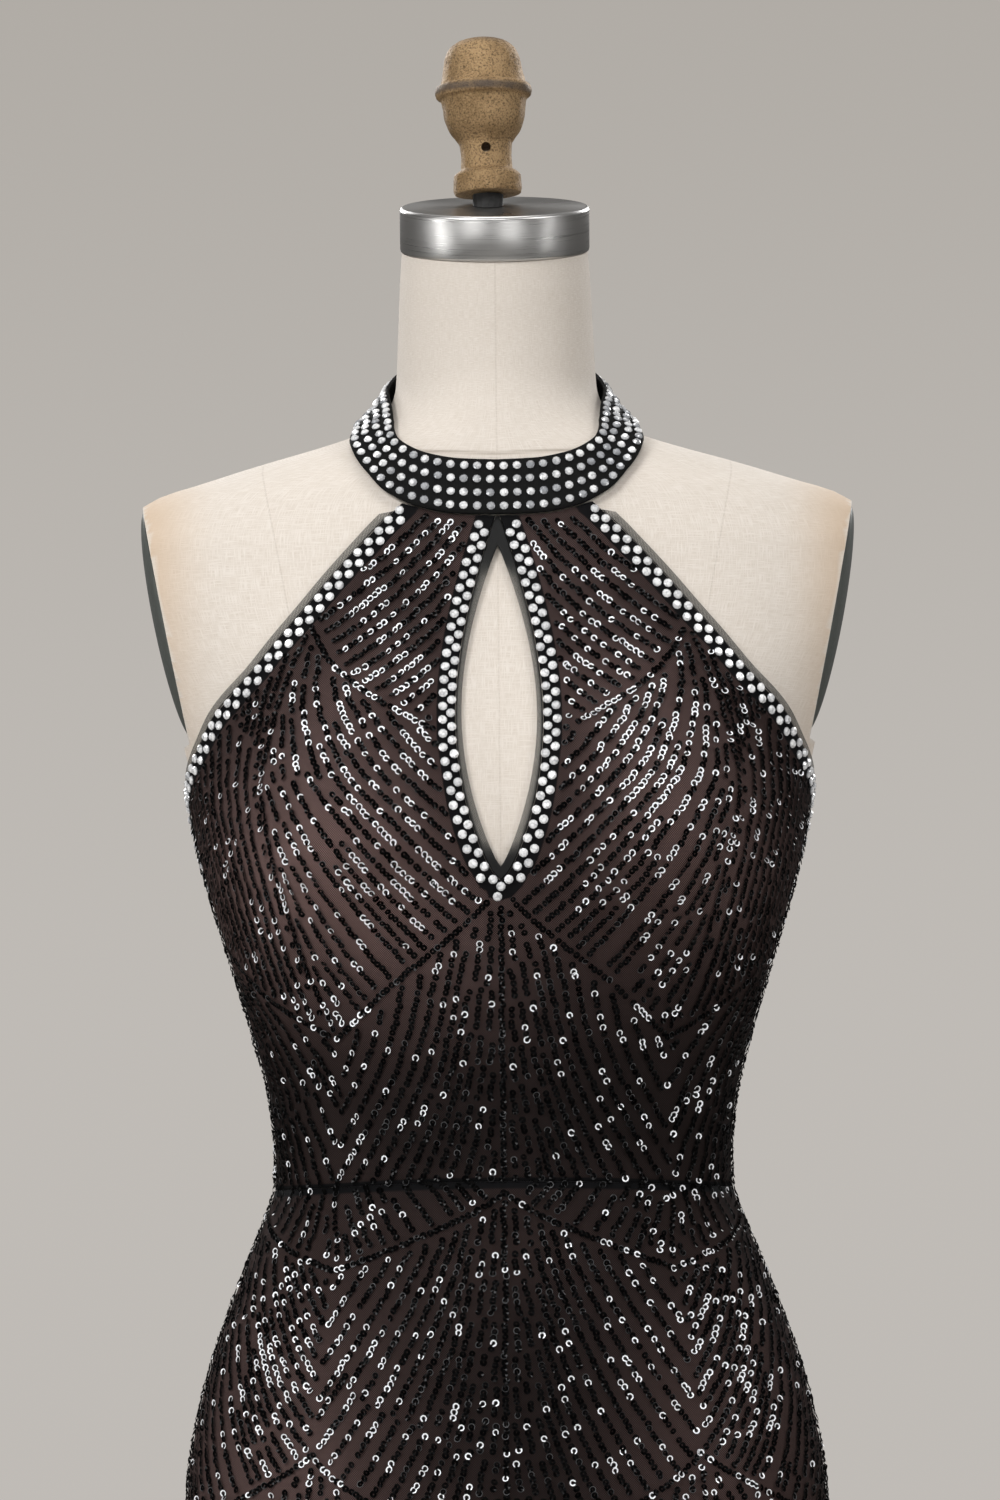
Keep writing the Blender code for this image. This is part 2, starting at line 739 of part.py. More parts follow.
def add_zip(collection):
    """The zip's narrow tape between the back panels."""

    def place(u, v, depth):
        z = ZIP_BOTTOM + SEAM + (ZIP_TOP - ZIP_BOTTOM - SEAM) * v
        turn = 180 + degrees(ZIP_HALF / section(z)[0]) * (2 * u - 1)
        return above((turn, z), CLEARANCE + CLOTH * depth)

    add_wall("back_zip", ZIP_COLUMNS, ZIP_ROWS, place, collection, "zip tape")


def extruded_outline(name, outline, half_thickness, collection, finish):
    """A flat outline in x and y, given thickness on both sides of z = 0."""
    curve = bpy.data.curves.new(name, "CURVE")
    curve.dimensions = "2D"
    curve.fill_mode = "BOTH"
    curve.extrude = half_thickness
    spline = curve.splines.new("POLY")
    spline.points.add(len(outline) - 1)
    for point, (x, y) in zip(spline.points, outline):
        point.co = (x, y, 0, 1)
    spline.use_cyclic_u = True
    guide = bpy.data.objects.new(name + "_outline", curve)
    collection.objects.link(guide)
    bpy.context.view_layer.update()
    data = bpy.data.meshes.new_from_object(guide.evaluated_get(bpy.context.evaluated_depsgraph_get()))
    bpy.data.objects.remove(guide, do_unlink=True)
    mesh = bmesh.new()
    mesh.from_mesh(data)
    bpy.data.meshes.remove(data)
    bmesh.ops.remove_doubles(mesh, verts=mesh.verts[:], dist=ON_PLANE)
    bmesh.ops.recalc_face_normals(mesh, faces=mesh.faces[:])
    return add_object(name, mesh, collection, finish)


def slider_back():
    """The y of the slider's flat back, just clear of the tape."""
    return above((180, SLIDER_Z), CLEARANCE + CLOTH).y + SLIDER_GAP


def add_zip_slider(collection):
    """A channel with two ears that the pull turns between."""
    right = (
        (SLIDER_HALF, 0.0),
        (SLIDER_HALF, SLIDER_EAR),
        (SLIDER_EAR_INNER, SLIDER_EAR),
        (SLIDER_EAR_INNER, SLIDER_FLOOR),
    )
    outline = right + tuple((-x, y) for x, y in right[::-1])
    made = extruded_outline("zip_slider", outline, SLIDER_HEIGHT / 2, collection, "zip metal")
    made.location = (0, slider_back(), SLIDER_Z)


def add_zip_pull(collection):
    """A teardrop tab that hangs from the slider's ears."""
    bar = ((PULL_BARREL, PULL_BAR_TOP), (PULL_BARREL, PULL_BAR_FOOT))
    right = bar + PULL_SHOULDER
    centre = -PULL_LENGTH + PULL_HALF
    steps = range(PULL_ARC_STEPS + 1)
    arc = [radians(PULL_ARC_START - PULL_ARC * i / PULL_ARC_STEPS) for i in steps]
    outline = list(right) + [(PULL_HALF * cos(a), centre + PULL_HALF * sin(a)) for a in arc]
    outline += [(-x, y) for x, y in right[::-1]]
    made = extruded_outline("zip_pull", outline, PULL_THICKNESS / 2, collection, "zip metal")
    made.rotation_euler = (pi / 2, 0, 0)
    made.location = (0, slider_back() + PULL_AXIS, SLIDER_Z)


# ---- Form and stand ----


FORM_ROWS = row_heights(
    (
        (FORM_BOTTOM, 1.06, 7),
        (1.06, 1.30, 8),
        (1.30, 1.42, 4),
        (1.42, 1.46, 4),
        (1.46, 1.49, 5),
        (1.49, 1.51, 2),
        (1.51, NECK_TOP, 2),
    )
)
FORM_COLUMNS = 36


def add_form(parts, cutters):
    """The torso: a tube of sections, closed flat below and at the neck, and cut flat at the arms."""
    mesh = bmesh.new()
    rows = len(FORM_ROWS) - 1
    bmesh.ops.create_grid(mesh, x_segments=FORM_COLUMNS, y_segments=rows, size=0.5)
    for vert in mesh.verts:
        row = round((vert.co.y + 0.5) * rows)
        vert.co = skin(360 * vert.co.x, FORM_ROWS[row])
    bmesh.ops.remove_doubles(mesh, verts=mesh.verts[:], dist=ON_PLANE)
    bmesh.ops.holes_fill(mesh, edges=mesh.edges[:], sides=0)
    bmesh.ops.recalc_face_normals(mesh, faces=mesh.faces[:])
    made = add_object("form_body", mesh, parts, "linen canvas")
    for side, name in ((-1, "arm_cutter_left"), (1, "arm_cutter_right")):
        cut = made.modifiers.new(name, "BOOLEAN")
        cut.operation = "DIFFERENCE"
        cut.object = add_arm_cutter(side, name, cutters)


def add_arm_cutter(side, name, cutters):
    """A block whose inner face is the arm cut and whose lower face ends it."""
    mesh = bmesh.new()
    bmesh.ops.create_cube(mesh, size=ARM_CUTTER)
    lowest = (ARM_CUT_LOW - ARM_CUT_Z) / cos(ARM_LEAN)
    middle = Vector((ARM_CUTTER / 2, 0, lowest + ARM_CUTTER / 2))
    bmesh.ops.translate(mesh, verts=mesh.verts[:], vec=middle)
    lean = Matrix.Rotation(ARM_LEAN, 4, "Y")
    bmesh.ops.transform(mesh, matrix=lean, verts=mesh.verts[:])
    bmesh.ops.translate(mesh, verts=mesh.verts[:], vec=(ARM_CUT_X, 0, ARM_CUT_Z))
    if side < 0:
        bmesh.ops.scale(mesh, vec=(-1, 1, 1), verts=mesh.verts[:])
        bmesh.ops.reverse_faces(mesh, faces=mesh.faces[:])
    made = add_object(name, mesh, cutters)
    made.hide_render = True
    made.display_type = "WIRE"
    return made


def add_arm_plate(side, name, collection):
    """A shallow oval dome on the arm cut."""
    mesh = bmesh.new()
    bmesh.ops.create_uvsphere(mesh, u_segments=PLATE_SEGMENTS, v_segments=PLATE_RINGS, radius=1.0)
    bmesh.ops.scale(mesh, vec=(PLATE_BULGE, PLATE_HALF_DEPTH, PLATE_HALF_HEIGHT), verts=mesh.verts[:])
    cut = bmesh.ops.bisect_plane(
        mesh,
        geom=mesh.verts[:] + mesh.edges[:] + mesh.faces[:],
        plane_co=(PLATE_RIM, 0, 0),
        plane_no=(1, 0, 0),
        clear_inner=True,
    )
    rim = [item for item in cut["geom_cut"] if isinstance(item, bmesh.types.BMEdge)]
    bmesh.ops.edgeloop_fill(mesh, edges=rim)
    bmesh.ops.translate(mesh, verts=mesh.verts[:], vec=(SEAM - PLATE_RIM, 0, 0))
    bmesh.ops.transform(mesh, matrix=Matrix.Rotation(ARM_LEAN, 4, "Y"), verts=mesh.verts[:])
    x = ARM_CUT_X + ARM_CUT_SLOPE * (PLATE_Z - ARM_CUT_Z)
    bmesh.ops.translate(mesh, verts=mesh.verts[:], vec=(x, PLATE_Y, PLATE_Z))
    if side < 0:
        bmesh.ops.scale(mesh, vec=(-1, 1, 1), verts=mesh.verts[:])
    bmesh.ops.recalc_face_normals(mesh, faces=mesh.faces[:])
    add_object(name, mesh, collection, "plate grey")


def add_turned(name, profile, steps, collection, finish):
    """A profile of radius and height, from the top down, turned round the vertical axis."""
    mesh = bmesh.new()
    corners = [mesh.verts.new((radius, 0, height)) for radius, height in profile]
    for first, second in zip(corners, corners[1:]):
        mesh.edges.new((first, second))
    made = add_object(name, mesh, collection, finish)
    screw = made.modifiers.new("Screw", "SCREW")
    screw.steps = steps
    screw.render_steps = steps
    screw.use_merge_vertices = True
    screw.merge_threshold = MERGE
    screw.use_smooth_shade = True
    return made


def add_rod(mesh, radius, length, steps):
    bmesh.ops.create_cone(
        mesh, cap_ends=True, segments=steps, radius1=radius, radius2=radius, depth=length
    )


def cap_axis():
    return Vector((0, -sin(NECK_TILT), cos(NECK_TILT)))


def cap_foot():
    _, _, _, side = section(NECK_TOP)
    return Vector((0, side, NECK_TOP)) + cap_axis() * SEAM


def add_neck_cap(collection):
    rounded = CAP_EDGE * (1 - sin(pi / 4))
    profile = (
        (0.0, CAP_HEIGHT),
        (CAP_RADIUS - CAP_EDGE, CAP_HEIGHT),
        (CAP_RADIUS - rounded, CAP_HEIGHT - rounded),
        (CAP_RADIUS, CAP_HEIGHT - CAP_EDGE),
        (CAP_RADIUS, 0.0),
        (0.0, 0.0),
    )
    made = add_turned("neck_cap", profile, CAP_STEPS, collection, "brushed steel")
    made.rotation_euler = (NECK_TILT, 0, 0)
    made.location = cap_foot()


def add_finial_stem(collection):
    """A short upright stem, cut at its foot to the cap's slope."""
    mesh = bmesh.new()
    top = FINIAL_BOTTOM - 2 * SEAM
    middle = cap_foot() + cap_axis() * (CAP_HEIGHT + SEAM)
    add_rod(mesh, STEM_RADIUS, 2 * (top - middle.z), STEM_STEPS)
    bmesh.ops.translate(mesh, verts=mesh.verts[:], vec=(FINIAL_X, middle.y, middle.z))
    cut = bmesh.ops.bisect_plane(
        mesh,
        geom=mesh.verts[:] + mesh.edges[:] + mesh.faces[:],
        plane_co=middle,
        plane_no=cap_axis(),
        clear_inner=True,
    )
    rim = [item for item in cut["geom_cut"] if isinstance(item, bmesh.types.BMEdge)]
    bmesh.ops.edgeloop_fill(mesh, edges=rim)
    bmesh.ops.recalc_face_normals(mesh, faces=mesh.faces[:])
    add_object("finial_stem", mesh, collection, "black stem")


def add_finial(parts, cutters):
    """The turned finial, with a cross hole for a pin."""
    made = add_turned("finial", FINIAL_PROFILE, FINIAL_STEPS, parts, "hammered gold")
    made.rotation_euler = (0, FINIAL_LEAN, 0)
    made.location = (FINIAL_X, cap_foot().y + cap_axis().y * CAP_HEIGHT, FINIAL_BOTTOM)
    mesh = bmesh.new()
    add_rod(mesh, PIN_HOLE_RADIUS, PIN_DRILL_LENGTH, PIN_STEPS)
    bmesh.ops.rotate(mesh, verts=mesh.verts[:], matrix=Matrix.Rotation(pi / 2, 3, "X"))
    drill = add_object("pin_drill", mesh, cutters)
    drill.location = made.location + Vector((0, 0, PIN_HOLE_Z))
    drill.hide_render = True
    drill.display_type = "WIRE"
    hole = made.modifiers.new("Pin hole", "BOOLEAN")
    hole.operation = "DIFFERENCE"
    hole.object = drill


def add_stand(collection):
    add_turned("stand_base", BASE_PROFILE, BASE_STEPS, collection, "base black")
    mesh = bmesh.new()
    bottom = BASE_PROFILE[0][1] + SEAM
    top = FORM_BOTTOM - SEAM
    add_rod(mesh, POLE_RADIUS, top - bottom, POLE_STEPS)
    bmesh.ops.translate(mesh, verts=mesh.verts[:], vec=(0, 0, (top + bottom) / 2))
    add_object("stand_pole", mesh, collection, "pole steel")


def main():
    clear_scene()
    parts = new_collection("mermaid gown on dress form")
    cutters = new_collection("cutters")
    add_form(parts, cutters)
    for side, name in ((-1, "left"), (1, "right")):
        add_arm_plate(side, "arm_plate_" + name, parts)
        add_back_bodice(side, "back_bodice_" + name, parts)
        add_edge_binding(side, "edge_binding_" + name, parts)
    add_neck_cap(parts)
    add_finial_stem(parts)
    add_finial(parts, cutters)
    add_stand(parts)
    add_front_bodice(parts)
    add_skirt(parts)
    add_collar(parts)
    add_keyhole_binding(parts)
    add_zip(parts)
    add_zip_slider(parts)
    add_zip_pull(parts)


main()
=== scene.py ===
"""Looks of a mermaid evening gown on a dress form: fine cloth shells over the frame's panels, sequins in
lines, flat-back stones, the linen form and its metal fittings. Metres, +Z up, front towards -Y."""

from itertools import count
from math import atan2, cos, pi, radians, sin, tan

import bmesh
import bpy
import numpy as np
from mathutils import Matrix, Vector, kdtree, noise


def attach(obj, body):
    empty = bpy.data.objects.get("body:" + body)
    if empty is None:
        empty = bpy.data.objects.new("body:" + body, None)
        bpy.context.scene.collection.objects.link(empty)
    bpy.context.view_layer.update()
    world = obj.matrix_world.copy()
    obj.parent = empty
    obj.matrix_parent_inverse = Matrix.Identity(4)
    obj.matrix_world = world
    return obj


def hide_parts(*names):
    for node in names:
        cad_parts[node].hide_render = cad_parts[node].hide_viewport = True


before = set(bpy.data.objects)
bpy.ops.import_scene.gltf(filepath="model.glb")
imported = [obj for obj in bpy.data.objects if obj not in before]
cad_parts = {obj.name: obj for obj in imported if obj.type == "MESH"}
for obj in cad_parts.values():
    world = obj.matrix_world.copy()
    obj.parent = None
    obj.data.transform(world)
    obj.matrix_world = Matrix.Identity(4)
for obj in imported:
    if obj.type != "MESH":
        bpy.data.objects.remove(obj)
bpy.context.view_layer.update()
GOWN = "gown_on_form"
random = np.random.default_rng(11)

# ---- The frame's own sizes ----

CLEARANCE = 0.0019
COLLAR_CLEARANCE = 0.0027
CLOTH = 0.0016
BAND = 0.0022
TRIM = 0.0014
SEAM = 0.0003
COLLAR_SEAM = 0.0007
WAIST = 1.058
WAIST_ARCH = 0.005
HEM = 0.017
FORM_BOTTOM = 0.78
NECK_BEND = 1.50
NECK_TOP = 1.5775

# height, half width, front y, back y, y of the widest line
SECTIONS = (
    (0.010, 0.372, -0.346, 0.346, 0.000),
    (0.060, 0.345, -0.322, 0.322, 0.000),
    (0.100, 0.322, -0.300, 0.300, 0.000),
    (0.200, 0.262, -0.243, 0.243, 0.000),
    (0.300, 0.207, -0.190, 0.188, 0.000),
    (0.400, 0.164, -0.138, 0.134, 0.000),
    (0.460, 0.150, -0.114, 0.112, 0.000),
    (0.520, 0.146, -0.104, 0.104, 0.000),
    (0.600, 0.152, -0.103, 0.106, 0.000),
    (0.700, 0.163, -0.105, 0.112, 0.000),
    (0.780, 0.170, -0.106, 0.120, 0.000),
    (0.860, 0.1720, -0.108, 0.125, 0.000),
    (0.900, 0.1704, -0.108, 0.123, 0.000),
    (0.945, 0.1624, -0.108, 0.118, 0.000),
    (0.985, 0.1500, -0.104, 0.109, 0.000),
    (1.020, 0.1366, -0.098, 0.100, 0.000),
    (1.045, 0.1263, -0.094, 0.093, 0.000),
    (1.060, 0.1218, -0.0925, 0.090, 0.000),
    (1.075, 0.1214, -0.0925, 0.0885, 0.000),
    (1.108, 0.1242, -0.094, 0.0875, 0.000),
    (1.140, 0.1321, -0.098, 0.088, 0.000),
    (1.174, 0.1422, -0.102, 0.090, 0.000),
    (1.207, 0.1524, -0.105, 0.094, 0.000),
    (1.240, 0.1617, -0.107, 0.098, 0.000),
    (1.273, 0.1684, -0.105, 0.101, 0.000),
    (1.300, 0.1735, -0.101, 0.103, 0.000),
    (1.330, 0.1875, -0.094, 0.104, 0.004),
    (1.360, 0.204, -0.086, 0.104, 0.010),
    (1.390, 0.214, -0.077, 0.102, 0.014),
    (1.410, 0.215, -0.071, 0.099, 0.016),
    (1.430, 0.207, -0.0635, 0.094, 0.018),
    (1.443, 0.189, -0.059, 0.090, 0.019),
    (1.449, 0.170, -0.057, 0.088, 0.020),
    (1.460, 0.1340, -0.0535, 0.086, 0.020),
    (1.468, 0.1045, -0.051, 0.0845, 0.019),
    (1.473, 0.088, -0.0495, 0.0838, 0.0185),
    (1.478, 0.0745, -0.0482, 0.083, 0.018),
    (1.487, 0.0635, -0.046, 0.0815, 0.018),
    (1.495, 0.0585, -0.0445, 0.080, 0.018),
    (1.504, 0.056, -0.0438, 0.078, 0.017),
    (1.530, 0.0545, -0.0455, 0.069, 0.0115),
    (1.560, 0.053, -0.0497, 0.0547, 0.0025),
    (1.5775, 0.0516, -0.0518, 0.0460, -0.0029),
)
BUST_X = 0.092
BUST_Z = 1.245
BUST_DEPTH = 0.033
BUST_HALF_WIDTH = 0.062
BUST_RISE = 0.078
BUST_FALL = 0.052
BUST_SIDE = 0.35

# turn, half width in degrees, depth at the hem, height that it starts from
FLUTES = (
    (-172, 12, 0.030, 0.40),
    (-147, 14, 0.036, 0.44),
    (-121, 11, 0.026, 0.36),
    (-98, 13, 0.034, 0.42),
    (-72, 12, 0.028, 0.38),
    (-47, 13, 0.036, 0.45),
    (-22, 11, 0.027, 0.37),
    (2, 13, 0.033, 0.43),
    (28, 12, 0.030, 0.40),
    (52, 13, 0.037, 0.45),
    (78, 11, 0.026, 0.36),
    (101, 13, 0.035, 0.43),
    (127, 12, 0.029, 0.39),
    (152, 12, 0.034, 0.42),
)
FLUTE_GROWTH = 1.25

FREE_EDGE_FRONT = (
    (14.3, 1.4288),
    (21.0, 1.402),
    (30.0, 1.370),
    (43.0, 1.338),
    (59.0, 1.3135),
    (70.0, 1.297),
    (80.0, 1.285),
    (90.0, 1.274),
)
FREE_EDGE_BACK = (
    (90.0, 1.274),
    (95.0, 1.256),
    (99.0, 1.230),
    (104.0, 1.190),
    (111.0, 1.150),
    (123.0, 1.116),
    (140.0, 1.096),
    (160.0, 1.087),
    (178.0, 1.085),
)
BINDING = 0.0045
KEYHOLE_LOW = 1.2300
KEYHOLE_HIGH = 1.4045
KEYHOLE_HALF = 0.0203
KEYHOLE_SKEW = 0.893
KEYHOLE_FULLNESS = 0.9
CUT_LOW = 1.2222
CUT_HIGH = 1.424
CUT_HALF = 0.0238
CUT_SKEW = 0.80

# turn round the neck, height of the lower and of the upper edge
COLLAR = (
    (0.0, 1.4215, 1.4525),
    (15.0, 1.4223, 1.4534),
    (27.0, 1.4262, 1.4565),
    (38.0, 1.4355, 1.4635),
    (46.0, 1.4493, 1.4727),
    (54.0, 1.4617, 1.4822),
    (63.0, 1.4707, 1.4903),
    (75.0, 1.4762, 1.4980),
    (90.0, 1.4795, 1.5042),
    (135.0, 1.4880, 1.5200),
    (180.0, 1.4930, 1.5270),
)
COLLAR_END_TURN = 0.35
COLLAR_MEETING_BEARINGS = (9, 17, 25)
ZIP_HALF = 0.0030
ZIP_TOP = 1.0885
ZIP_BOTTOM = 0.872
ZIP_TAPER = 0.008
ARM_CUT_X = 0.1725
ARM_CUT_Z = 1.316
ARM_CUT_SLOPE = 0.200
ARM_CUT_LOW = 1.303
ARM_LEAN = atan2(ARM_CUT_SLOPE, 1)
PLATE_Z = 1.3725
PLATE_Y = 0.012
PLATE_HALF_DEPTH = 0.040
PLATE_HALF_HEIGHT = 0.0640
PLATE_BULGE = 0.0080
NECK_TILT = radians(16)
CAP_RADIUS = 0.0526
CAP_HEIGHT = 0.0248
FINIAL_X = -0.0035
FINIAL_BOTTOM = 1.6085
FINIAL_LEAN = radians(-2.0)
PIN_HOLE_RADIUS = 0.0027
PIN_HOLE_Z = 0.0240
FINIAL_PROFILE = (
    (0.0, 0.0876),
    (0.0060, 0.0872),
    (0.0124, 0.0856),
    (0.0164, 0.0834),
    (0.0193, 0.0802),
    (0.0209, 0.0760),
    (0.0220, 0.0700),
    (0.0233, 0.0634),
    (0.0240, 0.0612),
    (0.0262, 0.0601),
    (0.0270, 0.0573),
    (0.0262, 0.0545),
    (0.0240, 0.0531),
    (0.0234, 0.0510),
    (0.0224, 0.0430),
    (0.0200, 0.0358),
    (0.0164, 0.0307),
    (0.0146, 0.0275),
    (0.0141, 0.0208),
    (0.0142, 0.0140),
    (0.0170, 0.0118),
    (0.0187, 0.0098),
    (0.0189, 0.0025),
    (0.0181, 0.0),
    (0.0, 0.0),
)
BASE_PROFILE = (
    (0.0, 0.045),
    (0.0200, 0.045),
    (0.0215, 0.0435),
    (0.0215, 0.0300),
    (0.0300, 0.0240),
    (0.0700, 0.0190),
    (0.1200, 0.0160),
    (0.1560, 0.0125),
    (0.1640, 0.0085),
    (0.1650, 0.0030),
    (0.1630, 0.0000),
    (0.0, 0.0000),
)


# ---- The surface that everything is worn on ----


def smoothed(places, values, at):
    """A cubic through rows that never overshoots them, at any places between."""
    places = np.asarray(places, float)
    values = np.asarray(values, float)
    rises = np.diff(values) / np.diff(places)
    slopes = np.zeros(len(places))
    slopes[0] = rises[0]
    slopes[-1] = rises[-1]
    for i in range(1, len(places) - 1):
        if rises[i - 1] * rises[i] > 0:
            slopes[i] = 2 * rises[i - 1] * rises[i] / (rises[i - 1] + rises[i])
    i = np.clip(np.searchsorted(places, at, side="right") - 1, 0, len(places) - 2)
    span = places[i + 1] - places[i]
    t = (at - places[i]) / span
    start = values[i] * (1 + 2 * t) * (1 - t) ** 2 + span * slopes[i] * t * (1 - t) ** 2
    end = values[i + 1] * t * t * (3 - 2 * t) - span * slopes[i + 1] * t * t * (1 - t)
    return start + end


SECTION_ROWS = np.array(SECTIONS)
HEIGHTS = np.linspace(SECTION_ROWS[0, 0], SECTION_ROWS[-1, 0], 1600)
SECTION_LINES = [smoothed(SECTION_ROWS[:, 0], SECTION_ROWS[:, i], HEIGHTS) for i in range(1, 5)]


def section(z):
    return [np.interp(z, HEIGHTS, line) for line in SECTION_LINES]


def smoothstep(t):
    t = np.clip(t, 0, 1)
    return t * t * (3 - 2 * t)


def bust(x, z, facing):
    reach = np.where(z > BUST_Z, BUST_RISE, BUST_FALL)
    height = np.exp(-(((z - BUST_Z) / reach) ** 2))
    mounds = sum(np.exp(-(((x - side * BUST_X) / BUST_HALF_WIDTH) ** 2)) for side in (-1, 1))
    return BUST_DEPTH * height * mounds * smoothstep(facing / BUST_SIDE)


def fluting(turn, z):
    out = np.zeros(np.broadcast(turn, z).shape)
    for angle, half_width, depth, start in FLUTES:
        away = np.abs((turn - angle + 180) % 360 - 180) / half_width
        grown = np.maximum((start - z) / (start - HEM), 0) ** FLUTE_GROWTH
        out += np.where(away < 1, depth * grown * (0.5 + 0.5 * np.cos(pi * away)), 0)
    return out


def skin(turn, z):
    """Points of the torso, or of the skirt's fall, at turns in degrees from the front and heights."""
    turn, z = np.broadcast_arrays(np.asarray(turn, float), np.asarray(z, float))
    half_width, front, back, side = section(z)
    sideways = np.sin(np.radians(turn))
    facing = np.cos(np.radians(turn))
    depth = np.where(facing > 0, side - front, back - side)
    x = half_width * sideways
    y = side - depth * facing - bust(x, z, facing)
    out = fluting(turn, z)
    tilted = np.clip((z - NECK_BEND) / (NECK_TOP - NECK_BEND), 0, 1)
    lift = tilted * tan(NECK_TILT) * (y - side)
    return np.stack([x + out * sideways, y - out * facing, z + lift], axis=-1)


def unit(v):
    return v / np.maximum(np.linalg.norm(v, axis=-1, keepdims=True), 1e-12)


def outward(turn, z):
    around = skin(turn + 0.5, z) - skin(turn - 0.5, z)
    up = skin(turn, np.minimum(z + 0.001, NECK_TOP)) - skin(turn, np.maximum(z - 0.001, 0.010))
    return unit(np.cross(around, up))


def above(turn, z, out):
    turn, z, out = np.broadcast_arrays(*(np.asarray(a, float) for a in (turn, z, out)))
    return skin(turn, z) + outward(turn, z) * out[..., None]


def turn_at(x, z):
    return np.degrees(np.arcsin(np.clip(x / section(z)[0], -1, 1)))


def turn_of_bearing(bearing, z):
    half_width, front, back, side = section(z)
    b = np.radians(bearing)
    depth = np.where(np.cos(b) > 0, side - front, back - side)
    return np.degrees(np.arctan2(np.sin(b) / half_width, np.cos(b) / depth))


def seam_turn(z):
    _, front, back, _ = section(z)
    return np.degrees(SEAM / (back - front))


def waist_seam(turn):
    return WAIST + WAIST_ARCH * np.maximum(np.cos(np.radians(turn)), 0) ** 2


def walked_line(rows):
    """A smooth line through rows of turn and height: a function of the share walked."""
    rows = np.array(rows, float)
    index = np.linspace(0, len(rows) - 1, 400)
    turns = smoothed(np.arange(len(rows)), rows[:, 0], index)
    heights = smoothed(np.arange(len(rows)), rows[:, 1], index)
    steps = np.linalg.norm(np.diff(skin(turns, heights), axis=0), axis=1)
    walked = np.concatenate([[0.0], np.cumsum(steps)])
    share = walked / walked[-1]

    def line(t):
        return np.stack([np.interp(t, share, turns), np.interp(t, share, heights)], -1)

    line.length = walked[-1]
    return line


def chained(first, second, at):
    def line(t):
        t = np.asarray(t, float)[..., None]
        return np.where(t < at, first((t / at)[..., 0]), second(((t - at) / (1 - at))[..., 0]))

    return line


def patch(bottom, top, left, right, u, v):
    """Places inside four edges, blended from all of them: an array of rows, columns and two values."""
    low, high, first, last = bottom(u)[None], top(u)[None], left(v)[:, None], right(v)[:, None]
    a, b = u[None, :, None], v[:, None, None]
    between = (1 - a) * first + a * last + (1 - b) * low + b * high
    corners = (1 - a) * (1 - b) * low[:, :1] + a * (1 - b) * low[:, -1:]
    return between - corners - (1 - a) * b * high[:, :1] - a * b * high[:, -1:]


def beside(line, t, sideways, out):
    """Points beside a line, to the left of the way that it is walked, and the torso's normal there."""
    before, after = line(np.maximum(t - 0.004, 0)), line(np.minimum(t + 0.004, 1))
    ahead = above(after[..., 0], after[..., 1], out) - above(before[..., 0], before[..., 1], out)
    place = line(t)
    normal = outward(place[..., 0], place[..., 1])
    left = np.cross(normal, unit(ahead))
    moved = left * np.reshape(sideways, np.shape(sideways) + (1,))
    return above(place[..., 0], place[..., 1], out) + moved, normal


def keyhole_side(t, low, high, half, skew):
    swell = np.sin(pi * np.clip(t, 0, 1) ** skew)
    return half * np.maximum(swell, 0) ** KEYHOLE_FULLNESS, low + (high - low) * t


def collar_edge(bearing, column):
    rows = np.array(COLLAR)
    return smoothed(rows[:, 0], rows[:, column], np.abs(bearing))


def under_collar():
    return float(collar_edge(0.0, 1)) - COLLAR_SEAM


def keyhole_line():
    t = np.linspace(0, (under_collar() - CUT_LOW) / (CUT_HIGH - CUT_LOW), 40)
    x, z = keyhole_side(t, CUT_LOW, CUT_HIGH, CUT_HALF, CUT_SKEW)
    return walked_line(np.stack([turn_at(x, z), z], -1))


def halter_line():
    rows = [(turn - float(seam_turn(z)) * (turn / 90) ** 8, z) for turn, z in FREE_EDGE_FRONT[::-1]]
    return walked_line(rows)


def centre_back_turn(z):
    opened = np.clip((z - ZIP_BOTTOM + ZIP_TAPER) / ZIP_TAPER, 0, 1)
    return 180 - np.degrees((SEAM / 2 + (ZIP_HALF + SEAM / 2) * opened) / section(z)[0])


def back_line():
    armhole, low = FREE_EDGE_BACK[0][1], FREE_EDGE_BACK[-1][1]
    first = (90 + float(seam_turn(armhole)), armhole)
    return walked_line((first, *FREE_EDGE_BACK[1:-1], (float(centre_back_turn(low)), low)))


KEYHOLE, HALTER, BACK = keyhole_line(), halter_line(), back_line()

